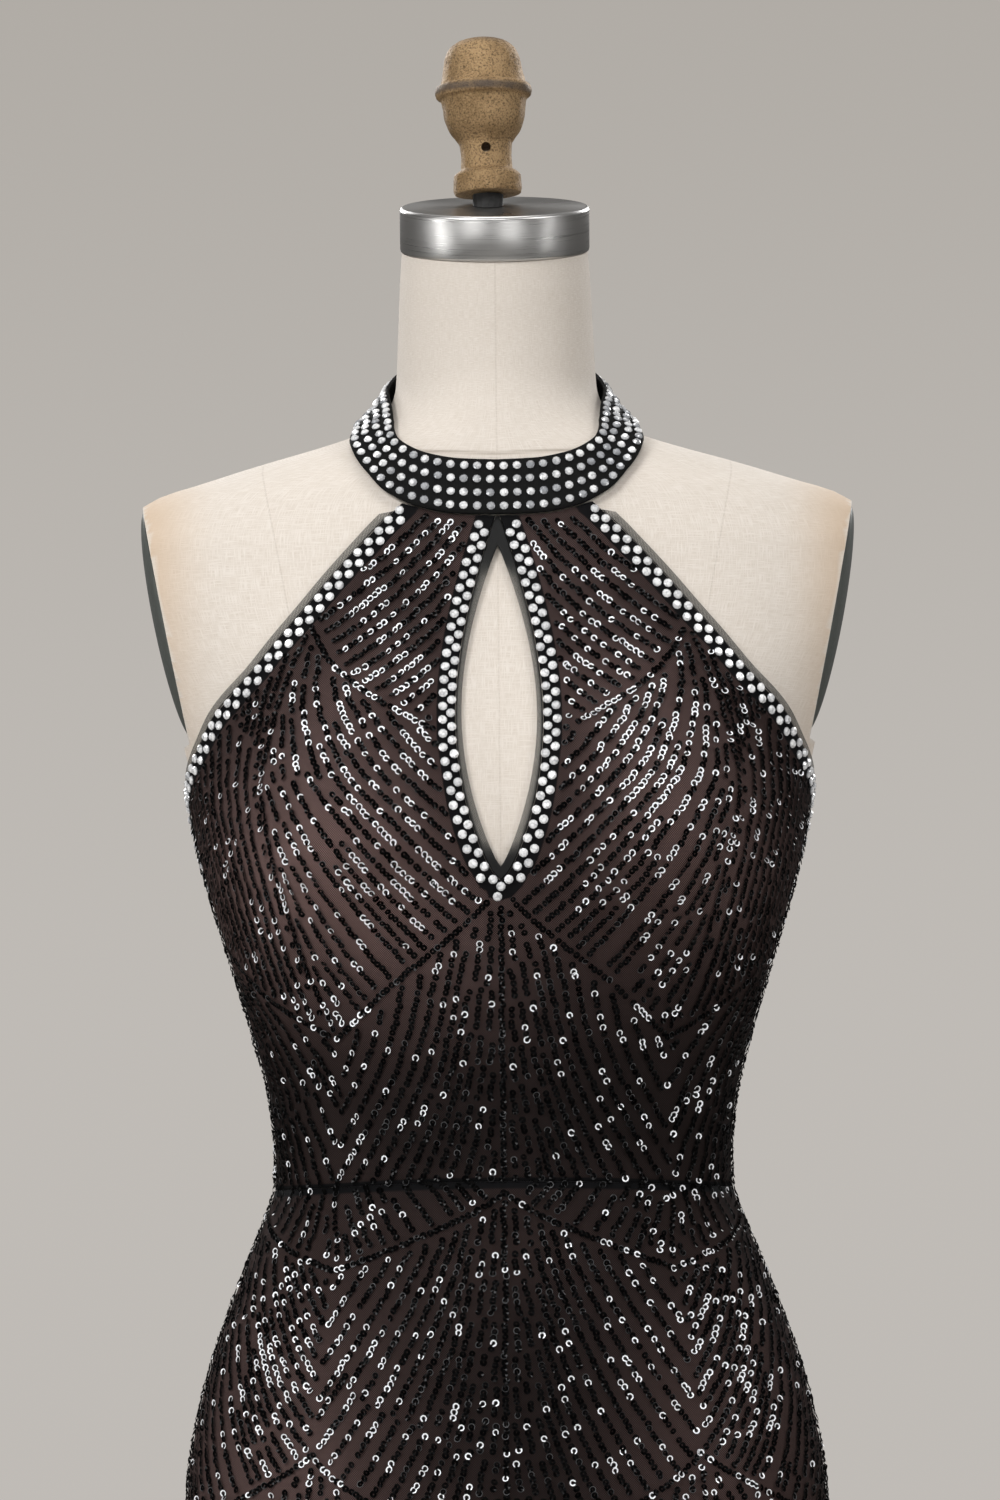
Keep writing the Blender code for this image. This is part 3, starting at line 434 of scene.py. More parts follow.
# ---- Creases ----
# Soft ridges and troughs of the cloth: turn and height of the middle, direction of the crease in degrees
# from level, half length, half width and depth, which is below zero in a trough.
CREASES = (
    (12, 1.408, 76, 0.020, 0.0030, 0.0011),
    (-11, 1.406, 102, 0.022, 0.0032, 0.0010),
    (15.5, 1.398, 66, 0.018, 0.0028, -0.0008),
    (-16.5, 1.396, 112, 0.020, 0.0030, -0.0009),
    (19, 1.392, 58, 0.024, 0.0036, 0.0009),
    (-20, 1.390, 122, 0.026, 0.0034, 0.0011),
    (8.5, 1.400, 84, 0.018, 0.0026, -0.0007),
    (-8, 1.402, 97, 0.016, 0.0026, -0.0006),
    (34, 1.345, 40, 0.034, 0.0055, 0.0010),
    (-36, 1.342, 141, 0.030, 0.0050, 0.0009),
    (47, 1.322, 30, 0.030, 0.0050, -0.0009),
    (-50, 1.318, 152, 0.034, 0.0055, -0.0010),
    (60, 1.268, 24, 0.036, 0.0075, 0.0012),
    (-62, 1.262, 157, 0.032, 0.0070, 0.0011),
    (66, 1.236, 16, 0.030, 0.0065, -0.0010),
    (-68, 1.228, 166, 0.034, 0.0070, -0.0011),
    (52, 1.166, 12, 0.040, 0.0080, 0.0010),
    (-55, 1.160, 169, 0.036, 0.0085, 0.0011),
    (30, 1.128, 7, 0.045, 0.0080, -0.0008),
    (-26, 1.122, 173, 0.042, 0.0085, -0.0009),
    (60, 1.104, 9, 0.038, 0.0060, 0.0012),
    (-64, 1.100, 171, 0.040, 0.0060, 0.0012),
    (10, 1.088, 2, 0.050, 0.0060, 0.0008),
    (-38, 1.079, 176, 0.036, 0.0045, -0.0009),
    (44, 1.081, 5, 0.038, 0.0048, -0.0009),
    (-14, 1.070, 95, 0.008, 0.0045, 0.0007),
    (-47, 1.067, 86, 0.007, 0.0040, 0.0007),
    (23, 1.069, 88, 0.008, 0.0042, 0.0006),
    (57, 1.067, 93, 0.007, 0.0040, 0.0007),
    (-30, 1.049, 90, 0.010, 0.0050, 0.0009),
    (-8, 1.050, 87, 0.011, 0.0050, 0.0008),
    (14, 1.048, 92, 0.010, 0.0046, 0.0009),
    (37, 1.050, 89, 0.009, 0.0048, 0.0008),
    (66, 1.046, 94, 0.010, 0.0050, 0.0009),
    (-60, 1.047, 85, 0.010, 0.0052, 0.0009),
    (-24, 0.985, 158, 0.050, 0.0110, 0.0012),
    (28, 0.979, 22, 0.052, 0.0110, 0.0013),
    (-66, 0.955, 152, 0.045, 0.0100, -0.0011),
    (68, 0.962, 30, 0.046, 0.0105, -0.0012),
    (4, 0.880, 3, 0.070, 0.0120, 0.0014),
    (-34, 0.850, 171, 0.060, 0.0130, -0.0012),
    (38, 0.842, 12, 0.062, 0.0120, -0.0013),
    (-58, 0.760, 108, 0.090, 0.0140, 0.0022),
    (61, 0.752, 71, 0.086, 0.0135, 0.0021),
    (-19, 0.700, 98, 0.095, 0.0140, -0.0020),
    (24, 0.690, 84, 0.100, 0.0150, -0.0021),
    (-42, 0.620, 96, 0.080, 0.0120, 0.0024),
    (46, 0.610, 82, 0.084, 0.0125, 0.0023),
    (0, 0.580, 91, 0.085, 0.0130, 0.0020),
    (-84, 0.640, 92, 0.090, 0.0130, -0.0020),
    (86, 0.650, 89, 0.090, 0.0130, -0.0021),
    (112, 1.102, 14, 0.030, 0.0055, 0.0011),
    (-114, 1.100, 166, 0.032, 0.0055, 0.0011),
    (140, 1.076, 6, 0.034, 0.0045, -0.0009),
    (-138, 1.078, 173, 0.032, 0.0045, -0.0009),
    (168, 1.040, 18, 0.020, 0.0045, 0.0011),
    (-169, 1.030, 160, 0.020, 0.0045, 0.0011),
    (170, 0.995, 24, 0.022, 0.0050, 0.0012),
    (-168, 0.985, 157, 0.024, 0.0050, 0.0011),
    (169, 0.945, 20, 0.022, 0.0050, -0.0010),
    (-170, 0.935, 161, 0.022, 0.0050, -0.0010),
    (171, 0.890, 34, 0.026, 0.0060, 0.0013),
    (-170, 0.880, 148, 0.024, 0.0060, 0.0013),
    (125, 1.020, 24, 0.050, 0.0095, 0.0012),
    (-128, 1.014, 157, 0.048, 0.0095, 0.0012),
    (150, 0.800, 8, 0.070, 0.0120, -0.0022),
    (-147, 0.792, 172, 0.066, 0.0120, -0.0021),
    (165, 0.770, 4, 0.060, 0.0110, 0.0020),
    (-163, 0.763, 176, 0.060, 0.0110, 0.0020),
    (118, 0.700, 76, 0.090, 0.0140, 0.0022),
    (-121, 0.690, 105, 0.090, 0.0145, 0.0023),
    (149, 0.620, 86, 0.090, 0.0140, -0.0021),
    (-146, 0.610, 94, 0.090, 0.0140, -0.0022),
    (176, 0.600, 88, 0.080, 0.0120, 0.0020),
)


def creasing(turn, z):
    """How far the cloth stands out of its even fall there."""
    out = np.zeros(np.broadcast(turn, z).shape)
    for middle, height, direction, half_length, half_width, depth in CREASES:
        radius = float(section(height)[0])
        across = np.radians((turn - middle + 180) % 360 - 180) * radius
        up = z - height
        c, s = cos(radians(direction)), sin(radians(direction))
        along = (across * c + up * s) / half_length
        aside = (up * c - across * s) / half_width
        near = (np.abs(along) < 3) & (np.abs(aside) < 3)
        out += np.where(near, depth * np.exp(-(along**2) - aside**2), 0)
    return out


def cloth(turn, z, out=0.0):
    """Points on the gown's outer face, or further out."""
    return above(turn, z, CLEARANCE + CLOTH + creasing(turn, z) + out)


# ---- Meshes ----


def mesh_object(name, points, faces, uv=None, values=None):
    """An object from arrays: points, faces of one kind, UVs for each corner and values for each point."""
    points = np.ascontiguousarray(np.reshape(points, (-1, 3)), np.float32)
    faces = np.ascontiguousarray(faces, np.int32)
    count, sides = faces.shape
    data = bpy.data.meshes.new(name)
    data.vertices.add(len(points))
    data.vertices.foreach_set("co", points.ravel())
    data.loops.add(count * sides)
    data.loops.foreach_set("vertex_index", faces.ravel())
    data.polygons.add(count)
    data.polygons.foreach_set("loop_start", np.arange(0, count * sides, sides, dtype=np.int32))
    data.update(calc_edges=True)
    if uv is not None:
        layer = data.uv_layers.new(name="cloth")
        layer.data.foreach_set("uv", np.asarray(uv, np.float32).reshape(-1, 2)[faces.ravel()].ravel())
    for label, each in (values or {}).items():
        attribute = data.attributes.new(label, "FLOAT", "POINT")
        attribute.data.foreach_set("value", np.asarray(each, np.float32).ravel())
    data.validate()
    data.shade_smooth()
    made = bpy.data.objects.new(name, data)
    bpy.context.scene.collection.objects.link(made)
    return made


def grid_faces(rows, columns, closed=False):
    r, c = np.meshgrid(np.arange(rows - 1), np.arange(columns - (0 if closed else 1)), indexing="ij")
    after = (c + 1) % columns
    low, high = r * columns, (r + 1) * columns
    return np.stack([low + c, low + after, high + after, high + c], -1).reshape(-1, 4)


def arc_uv(points):
    """UVs in metres over a grid of points: along each row, and up the middle column."""
    across = np.linalg.norm(np.diff(points, axis=1), axis=2)
    u = np.concatenate([np.zeros((len(points), 1)), np.cumsum(across, axis=1)], axis=1)
    up = np.linalg.norm(np.diff(points, axis=0), axis=2).mean(axis=1)
    v = np.concatenate([[0], np.cumsum(up)])
    u -= u[:, -1:] / 2
    return np.stack([u, np.broadcast_to(v[:, None], u.shape)], -1)


def give_thickness(made, thickness):
    solid = made.modifiers.new("Cloth thickness", "SOLIDIFY")
    solid.thickness = thickness
    solid.offset = -1
    return made


def dress(made, material, node=None, slot=None, body=GOWN):
    """Gives a piece its material, hangs it on its body, and hides the model's parts that it replaces."""
    made.data.materials.clear()
    made.data.materials.append(material)
    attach(made, body)
    if node:
        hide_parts(*([node] if isinstance(node, str) else node))
    return made


def area_of(made):
    return sum(face.area for face in made.data.polygons)


# ---- Materials ----


def new_material(name, colour=(0.5, 0.5, 0.5), roughness=0.5, metallic=0.0, **sockets):
    made = bpy.data.materials.new(name)
    made.use_nodes = True
    shader = made.node_tree.nodes["Principled BSDF"]
    shader.inputs["Base Color"].default_value = (*colour, 1)
    shader.inputs["Roughness"].default_value = roughness
    shader.inputs["Metallic"].default_value = metallic
    for label, value in sockets.items():
        shader.inputs[label.replace("_", " ")].default_value = value
    return made, made.node_tree, shader


def put(tree, kind, *links, **settings):
    """A node, with its inputs linked or set in order, and its settings."""
    node = tree.nodes.new("ShaderNode" + kind)
    for label, value in settings.items():
        setattr(node, label, value)
    for i, value in enumerate(links):
        if value is None:
            continue
        if isinstance(value, bpy.types.NodeSocket):
            tree.links.new(value, node.inputs[i])
        else:
            node.inputs[i].default_value = value
    return node


def calc(tree, operation, *values):
    return put(tree, "Math", *values, operation=operation).outputs[0]


def ranged(tree, value, low, high, to_low=0.0, to_high=1.0):
    node = put(tree, "MapRange", value, low, high, to_low, to_high, interpolation_type="SMOOTHSTEP")
    return node.outputs[0]


def mixed(tree, factor, first, second):
    node = tree.nodes.new("ShaderNodeMix")
    node.data_type = "RGBA"
    for value, place in ((factor, 0), (first, 6), (second, 7)):
        if isinstance(value, bpy.types.NodeSocket):
            tree.links.new(value, node.inputs[place])
        else:
            node.inputs[place].default_value = value
    return node.outputs[2]


def noise_of(tree, vector, scale, detail=2.0, roughness=0.5):
    node = put(tree, "TexNoise")
    tree.links.new(vector, node.inputs["Vector"])
    node.inputs["Scale"].default_value = scale
    node.inputs["Detail"].default_value = detail
    node.inputs["Roughness"].default_value = roughness
    return node.outputs[0]


def bumped(tree, shader, height, strength, distance):
    node = tree.nodes.new("ShaderNodeBump")
    node.inputs["Strength"].default_value = strength
    node.inputs["Distance"].default_value = distance
    tree.links.new(height, node.inputs["Height"])
    tree.links.new(node.outputs[0], shader.inputs["Normal"])


def net_threads(tree, cell, thin, thick):
    """A mask of fine diagonal netting in UV metres: 1 on a thread, 0 in a hole."""
    uv = put(tree, "UVMap").outputs[0]
    parts = put(tree, "SeparateXYZ", uv)
    x, y = (calc(tree, "MULTIPLY", parts.outputs[i], pi / cell) for i in (0, 1))
    first = calc(tree, "ABSOLUTE", calc(tree, "SINE", calc(tree, "ADD", x, y)))
    second = calc(tree, "ABSOLUTE", calc(tree, "SINE", calc(tree, "SUBTRACT", x, y)))
    return ranged(tree, calc(tree, "MINIMUM", first, second), thin, thick, 1.0, 0.0)


def attribute_of(tree, name):
    return put(tree, "Attribute", attribute_name=name).outputs["Fac"]


def net_over_lining():
    """Black net on a mauve-brown lining, which shows most where the cloth lies tight on the form; the lining
    is also painted lighter on the left, on the key light's side, as painted light and sheen.
    """
    made, tree, shader = new_material("net over lining", roughness=0.8, Specular_IOR_Level=0.08)
    threads = net_threads(tree, 0.00125, 0.30, 0.72)
    place = put(tree, "TexCoord").outputs["Object"]
    soft = noise_of(tree, place, 9.0, 3.0)
    fine = noise_of(tree, place, 900.0, 2.0)
    slack = mixed(tree, ranged(tree, soft, 0.3, 0.7), (0.015, 0.0095, 0.0085, 1), (0.026, 0.0165, 0.0150, 1))
    # lighter lining: partly the tight cloth letting it show, partly painted light and sheen from the key
    # light's side
    taut_and_lit = mixed(tree, ranged(tree, soft, 0.3, 0.7), (0.225, 0.140, 0.128, 1), (0.315, 0.200, 0.184, 1))
    lining = mixed(tree, attribute_of(tree, "taut_and_lit"), slack, taut_and_lit)
    thread = mixed(tree, fine, (0.0018, 0.0016, 0.0016, 1), (0.006, 0.005, 0.005, 1))
    colour = mixed(tree, calc(tree, "MULTIPLY", threads, 0.94), lining, thread)
    # near black on the opaque band that the stones sit on, and painted shade along the waist seam: the band
    # attribute carries both
    band = attribute_of(tree, "band")
    colour = mixed(tree, ranged(tree, band, 0.4, 0.6), colour, (0.004, 0.004, 0.0045, 1))
    tree.links.new(colour, shader.inputs["Base Color"])
    bumped(tree, shader, threads, 0.35, 0.0003)
    return made


def sheer_net():
    """Fine grey net, doubled to black where it runs under the cloth's edge."""
    made, tree, shader = new_material("sheer net", roughness=0.65, Specular_IOR_Level=0.25)
    threads = net_threads(tree, 0.0011, 0.15, 0.75)
    fine = noise_of(tree, put(tree, "TexCoord").outputs["Object"], 1200.0)
    doubled = attribute_of(tree, "doubled")
    colour = mixed(tree, fine, (0.055, 0.056, 0.052, 1), (0.13, 0.13, 0.12, 1))
    colour = mixed(tree, doubled, colour, (0.006, 0.006, 0.006, 1))
    tree.links.new(colour, shader.inputs["Base Color"])
    open_net = ranged(tree, threads, 0.0, 1.0, 0.26, 0.66)
    tree.links.new(calc(tree, "MAXIMUM", open_net, doubled), shader.inputs["Alpha"])
    return made


def black_ribbon():
    made, tree, shader = new_material("black ribbon", roughness=0.75, Specular_IOR_Level=0.12)
    uv = put(tree, "UVMap").outputs[0]
    parts = put(tree, "SeparateXYZ", uv)
    ribs = calc(tree, "ABSOLUTE", calc(tree, "SINE", calc(tree, "MULTIPLY", parts.outputs[0], pi / 0.0009)))
    fine = noise_of(tree, put(tree, "TexCoord").outputs["Object"], 700.0)
    dark, worn = (0.0025, 0.0025, 0.0025, 1), (0.009, 0.009, 0.0085, 1)
    colour = mixed(tree, calc(tree, "MULTIPLY", ribs, fine), dark, worn)
    tree.links.new(colour, shader.inputs["Base Color"])
    bumped(tree, shader, ribs, 0.4, 0.0002)
    return made


def sequin_black():
    """Black plastic cups; on some the rim is painted near-white, a painted highlight standing in for the
    flash of a light.
    """
    made, tree, shader = new_material("black sequin", roughness=0.18, Specular_IOR_Level=0.07)
    painted_glint = attribute_of(tree, "painted_glint")
    # painted highlight: the rims of the sequins that flash are near-white
    painted_flash = ranged(tree, painted_glint, 0.22, 0.60)
    colour = mixed(tree, painted_flash, (0.0010, 0.0010, 0.0011, 1), (0.93, 0.94, 0.97, 1))
    tree.links.new(colour, shader.inputs["Base Color"])
    tree.links.new(ranged(tree, painted_glint, 0.1, 0.6, 0.15, 0.34), shader.inputs["Roughness"])
    tree.links.new(ranged(tree, painted_glint, 0.2, 0.6, 0.0, 0.18), shader.inputs["Metallic"])
    return made


def clear_stone():
    """Clear foiled glass with painted light: each stone's painted glint and facet set it from near-white to
    dark grey, and grey cells are painted dark facet reflections.
    """
    made, tree, shader = new_material("clear stone", roughness=0.16, metallic=0.12, Specular_IOR_Level=0.8)
    painted_glint = attribute_of(tree, "painted_glint")
    cells = tree.nodes.new("ShaderNodeTexVoronoi")
    tree.links.new(put(tree, "TexCoord").outputs["Object"], cells.inputs["Vector"])
    cells.inputs["Scale"].default_value = 620.0
    # painted light: near-white to dark grey by painted glint, then grey cells as painted reflections of dark
    # facets
    painted_facet_light = mixed(tree, ranged(tree, painted_glint, 0.0, 0.9), (0.26, 0.27, 0.29, 1), (1.0, 1.0, 1.0, 1))
    grey = ranged(tree, cells.outputs["Distance"], 0.40, 1.0, 0.0, 0.65)
    tree.links.new(mixed(tree, grey, painted_facet_light, (0.22, 0.23, 0.25, 1)), shader.inputs["Base Color"])
    shader.inputs["Coat Weight"].default_value = 1.0
    shader.inputs["Coat Roughness"].default_value = 0.03
    bumped(tree, shader, cells.outputs["Distance"], 0.3, 0.0004)
    return made


# seam, half width of its furrow, and its depth as a share of the deepest, both for the bump and for the
# painted shade in it; the neck seam's is the painted shadow under its overhang
CANVAS_SEAMS = (
    ("seam_front", 0.0007, 0.30),
    ("seam_princess", 0.0007, 0.34),
    ("seam_neck", 0.0018, 1.0),
    ("seam_side", 0.0009, 0.6),
)
STITCH = 0.0024


def canvas():
    """Plain woven linen, with slubs, faint stitched seams with painted shade in their furrows, and warmer and
    darker towards the arms.
    """
    made, tree, shader = new_material("linen canvas", roughness=0.85, Specular_IOR_Level=0.2)
    uv = put(tree, "UVMap").outputs[0]
    parts = put(tree, "SeparateXYZ", uv)
    x, y = parts.outputs[0], parts.outputs[1]
    warp = put(tree, "CombineXYZ", calc(tree, "MULTIPLY", x, 1900.0), calc(tree, "MULTIPLY", y, 120.0), 0.0)
    weft = put(tree, "CombineXYZ", calc(tree, "MULTIPLY", x, 120.0), calc(tree, "MULTIPLY", y, 1900.0), 0.0)
    slubs = calc(tree, "MAXIMUM", *(noise_of(tree, each.outputs[0], 1.0, 1.0) for each in (warp, weft)))
    twill = calc(tree, "SINE", calc(tree, "MULTIPLY", calc(tree, "ADD", x, y), 2 * pi / 0.0011))
    rows = calc(tree, "SINE", calc(tree, "MULTIPLY", calc(tree, "SUBTRACT", x, y), 2 * pi / 0.0014))
    weave = calc(tree, "MULTIPLY_ADD", calc(tree, "MULTIPLY", twill, rows), 0.13, slubs)
    soft = noise_of(tree, put(tree, "TexCoord").outputs["Object"], 5.0, 4.0)
    colour = mixed(tree, ranged(tree, weave, 0.34, 0.74), (0.625, 0.555, 0.480, 1), (0.745, 0.685, 0.620, 1))
    colour = mixed(tree, ranged(tree, soft, 0.35, 0.75, 0.0, 0.25), colour, (0.70, 0.63, 0.555, 1))
    arm_tint = attribute_of(tree, "arm_tint")
    colour = mixed(tree, calc(tree, "MULTIPLY", arm_tint, 0.75), colour, (0.60, 0.42, 0.26, 1))
    groove_shade = None
    for name, reach, depth in CANVAS_SEAMS:
        away = calc(tree, "ABSOLUTE", attribute_of(tree, name))
        line = ranged(tree, away, 0.0002, reach, depth, 0.0)
        groove_shade = line if groove_shade is None else calc(tree, "MAXIMUM", groove_shade, line)
    stitches = calc(tree, "SINE", calc(tree, "MULTIPLY", y, 2 * pi / STITCH))
    groove_shade = calc(tree, "MULTIPLY", groove_shade, ranged(tree, stitches, -0.6, 0.4, 0.55, 1.0))
    # painted shade in the seam furrows, deepest as the painted shadow under the neck seam's overhang; the
    # dotted stitching along them is the thread's own line
    colour = mixed(tree, calc(tree, "MULTIPLY", groove_shade, 0.45), colour, (0.24, 0.18, 0.13, 1))
    tree.links.new(colour, shader.inputs["Base Color"])
    shader.inputs["Sheen Weight"].default_value = 0.15
    height = calc(tree, "SUBTRACT", calc(tree, "MULTIPLY", weave, 0.5), groove_shade)
    bumped(tree, shader, height, 0.5, 0.0005)
    return made


BRUSHING = 2600.0  # lines to a metre


def brushed_steel():
    made, tree, shader = new_material("brushed steel", (0.5, 0.5, 0.5), 0.3, 1.0)
    place = put(tree, "TexCoord").outputs["Object"]
    parts = put(tree, "SeparateXYZ", place)
    # up the disc's own axis, which leans forwards with the neck
    forwards = calc(tree, "MULTIPLY", parts.outputs[1], -sin(NECK_TILT) * BRUSHING)
    height = calc(tree, "MULTIPLY_ADD", parts.outputs[2], cos(NECK_TILT) * BRUSHING, forwards)
    x, y = (calc(tree, "MULTIPLY", parts.outputs[i], 12.0) for i in (0, 1))
    lines = noise_of(tree, put(tree, "CombineXYZ", x, y, height).outputs[0], 1.0, 3.0, 0.7)
    tree.links.new(ranged(tree, lines, 0.2, 0.8, 0.25, 0.38), shader.inputs["Roughness"])
    colour = mixed(tree, lines, (0.50, 0.49, 0.48, 1), (0.61, 0.60, 0.585, 1))
    tree.links.new(colour, shader.inputs["Base Color"])
    shader.inputs["Anisotropic"].default_value = 0.6
    bumped(tree, shader, lines, 0.012, 0.0001)
    return made


FINIAL_RIM = 1.6655  # the rim's upper face, which is darker
FINIAL_CROWN = 1.6900  # and the top, from here up


def antique_gold():
    """Rough-cast gold paint with dark pits."""
    made, tree, shader = new_material("antique gold", roughness=0.5, metallic=0.42, Specular_IOR_Level=0.25)
    place = put(tree, "TexCoord").outputs["Object"]
    pits = noise_of(tree, place, 950.0, 3.0, 0.65)
    patina = noise_of(tree, place, 55.0, 4.0, 0.6)
    colour = mixed(tree, ranged(tree, patina, 0.35, 0.7), (0.40, 0.265, 0.135, 1), (0.26, 0.165, 0.078, 1))
    colour = mixed(tree, ranged(tree, pits, 0.55, 0.75, 0.0, 0.5), colour, (0.52, 0.38, 0.22, 1))
    colour = mixed(tree, ranged(tree, pits, 0.50, 0.36, 0.0, 0.70), colour, (0.045, 0.028, 0.016, 1))
    upright = put(tree, "SeparateXYZ", place).outputs[2]
    from_rim = calc(tree, "ABSOLUTE", calc(tree, "SUBTRACT", upright, FINIAL_RIM))
    rim = ranged(tree, from_rim, 0.0010, 0.0030, 1.0, 0.0)
    crown = ranged(tree, upright, FINIAL_CROWN, FINIAL_CROWN + 0.006, 0.0, 0.7)
    patchy = ranged(tree, patina, 0.3, 0.6, 0.45, 0.85)
    worn = calc(tree, "MULTIPLY", calc(tree, "MAXIMUM", rim, crown), patchy)
    colour = mixed(tree, worn, colour, (0.10, 0.080, 0.068, 1))
    tree.links.new(colour, shader.inputs["Base Color"])
    tree.links.new(ranged(tree, pits, 0.35, 0.7, 0.62, 0.42), shader.inputs["Roughness"])
    bumped(tree, shader, pits, 0.9, 0.0010)
    return made


def dark_enamel(name, colour, roughness, metallic):
    made, tree, shader = new_material(name, colour, roughness, metallic)
    place = put(tree, "TexCoord").outputs["Object"]
    fine = noise_of(tree, place, 260.0, 3.0)
    lighter = tuple(c * 1.5 + 0.004 for c in colour)
    tree.links.new(mixed(tree, fine, (*colour, 1), (*lighter, 1)), shader.inputs["Base Color"])
    uneven = ranged(tree, fine, 0.2, 0.8, roughness * 0.8, roughness * 1.25)
    tree.links.new(uneven, shader.inputs["Roughness"])
    bumped(tree, shader, fine, 0.06, 0.0003)
    return made


NET = net_over_lining()
SHEER = sheer_net()
RIBBON = black_ribbon()
SEQUIN = sequin_black()
STONE = clear_stone()
CANVAS = canvas()
STEEL = brushed_steel()
GOLD = antique_gold()
PLATE = dark_enamel("plate enamel", (0.062, 0.068, 0.062), 0.45, 0.0)
STEM = dark_enamel("black stem", (0.010, 0.010, 0.010), 0.7, 0.0)
POLE = dark_enamel("pole steel", (0.55, 0.55, 0.55), 0.16, 1.0)
BASE = dark_enamel("base black", (0.02, 0.02, 0.022), 0.42, 0.3)
ZIP = dark_enamel("zip black", (0.012, 0.012, 0.013), 0.3, 0.6)
TAPE = dark_enamel("zip tape", (0.012, 0.012, 0.012), 0.8, 0.0)


# ---- Camera, lights and stage: outlook of the photograph ----

CAMERA_PLACE = (0.0, -3.03, 1.08)
CAMERA_TARGET = (0.0002, 0.0, 1.300)
CAMERA_LENS = 132.0
CAMERA_ROLL = -0.55


def make_camera():
    lens = bpy.data.cameras.new("camera")
    made = bpy.data.objects.new("camera", lens)
    bpy.context.scene.collection.objects.link(made)
    bpy.context.scene.camera = made
    lens.sensor_width = 36
    lens.lens = CAMERA_LENS
    lens.clip_end = 200
    made.location = CAMERA_PLACE
    aim = (Vector(CAMERA_TARGET) - Vector(CAMERA_PLACE)).to_track_quat("-Z", "Y")
    made.rotation_mode = "QUATERNION"
    made.rotation_quaternion = aim @ Matrix.Rotation(radians(CAMERA_ROLL), 3, "Z").to_quaternion()
    lens.dof.use_dof = False


# name, place, aim, width, height, power
LIGHTS = (
    ("key", (-1.9, -2.5, 3.1), (0.0, 0.0, 1.25), 1.3, 1.1, 70),
    ("fill", (2.5, -1.9, 2.9), (0.0, 0.0, 1.2), 1.2, 1.0, 32),
    ("front", (0.2, -3.6, 2.6), (0.0, 0.0, 1.1), 0.5, 0.4, 20),
    ("low_left", (-1.5, -2.9, 0.6), (0.0, 0.0, 1.1), 1.3, 0.9, 10),
    ("low_right", (1.0, -2.75, 0.5), (0.0, 0.0, 1.1), 1.3, 0.9, 8),
    ("top", (0.0, -0.2, 3.5), (0.0, 0.0, 1.2), 1.2, 1.2, 16),
    ("strip_left", (-2.6, -0.92, 1.0), (0.0, 0.0, 1.2), 0.30, 1.3, 12),
    ("strip_right", (2.6, -0.92, 1.0), (0.0, 0.0, 1.2), 0.15, 1.3, 5),
    ("back_left", (-1.5, 2.9, 3.1), (0.0, 0.0, 1.1), 1.2, 1.4, 52),
    ("back_right", (1.7, 2.7, 3.0), (0.0, 0.0, 1.1), 1.2, 1.4, 41),
)


def make_lights():
    for name, place, aim, width, height, power in LIGHTS:
        data = bpy.data.lights.new(name, "AREA")
        data.shape = "RECTANGLE"
        data.size = width
        data.size_y = height
        data.energy = power
        made = bpy.data.objects.new(name, data)
        bpy.context.scene.collection.objects.link(made)
        made.location = place
        made.rotation_euler = (Vector(aim) - Vector(place)).to_track_quat("-Z", "Y").to_euler()


BACKDROP_LOW = (0.525, 0.498, 0.468, 1)
BACKDROP_HIGH = (0.428, 0.402, 0.370, 1)
STUDIO_DARK = (0.080, 0.077, 0.073, 1)
STUDIO_CEILING = (0.17, 0.165, 0.16, 1)


def make_world():
    """A pale backdrop that darkens upwards, in a dim room that the gloss shows."""
    world = bpy.data.worlds.new("studio")
    bpy.context.scene.world = world
    world.use_nodes = True
    tree = world.node_tree
    shader = tree.nodes["Background"]
    direction = put(tree, "SeparateXYZ", put(tree, "TexCoord").outputs["Generated"])
    backdrop = mixed(tree, ranged(tree, direction.outputs[2], 0.0, 0.26), BACKDROP_LOW, BACKDROP_HIGH)
    room = mixed(tree, ranged(tree, direction.outputs[2], -0.3, 0.9), STUDIO_DARK, STUDIO_CEILING)
    colour = mixed(tree, put(tree, "LightPath").outputs["Is Camera Ray"], room, backdrop)
    tree.links.new(colour, shader.inputs["Color"])
    shader.inputs["Strength"].default_value = 1.0
    bpy.context.scene.view_settings.view_transform = "Standard"


FLOOR_RADIUS = 2.3


def make_floor():
    """A pale round floor that fades out into the backdrop."""
    steps, rings = 96, 14
    angle = np.linspace(0, 2 * pi, steps, endpoint=False)
    radius = np.linspace(0.02, FLOOR_RADIUS, rings)
    x, y = radius[:, None] * np.cos(angle), radius[:, None] * np.sin(angle)
    points = np.stack([x, y, np.full_like(x, -0.0005)], -1)
    fade = np.broadcast_to(radius[:, None] / FLOOR_RADIUS, x.shape)
    made = mesh_object("floor", points, grid_faces(rings, steps, closed=True), values={"fade": fade})
    material, tree, shader = new_material("floor", (0.62, 0.60, 0.57), 0.7)
    fine = noise_of(tree, put(tree, "TexCoord").outputs["Object"], 3.0, 4.0)
    grey = mixed(tree, fine, (0.60, 0.58, 0.55, 1), (0.64, 0.62, 0.59, 1))
    tree.links.new(grey, shader.inputs["Base Color"])
    tree.links.new(ranged(tree, attribute_of(tree, "fade"), 0.55, 1.0, 1.0, 0.0), shader.inputs["Alpha"])
    made.data.materials.append(material)


# ---- Gown ----


def band_near(points, edges, reach):
    """1 near a stoned edge, 0 away from it, for the opaque band that the stones are set on."""
    flat = points.reshape(-1, 3)
    nearest = np.full(len(flat), 1.0)
    for edge in edges:
        for start in range(0, len(flat), 20000):
            part = flat[start : start + 20000]
            away = np.linalg.norm(part[:, None] - edge[None], axis=2).min(axis=1)
            nearest[start : start + 20000] = np.minimum(nearest[start : start + 20000], away)
    return (0.5 + (reach - nearest) / 0.002 * 0.5).clip(0, 1).reshape(points.shape[:-1])


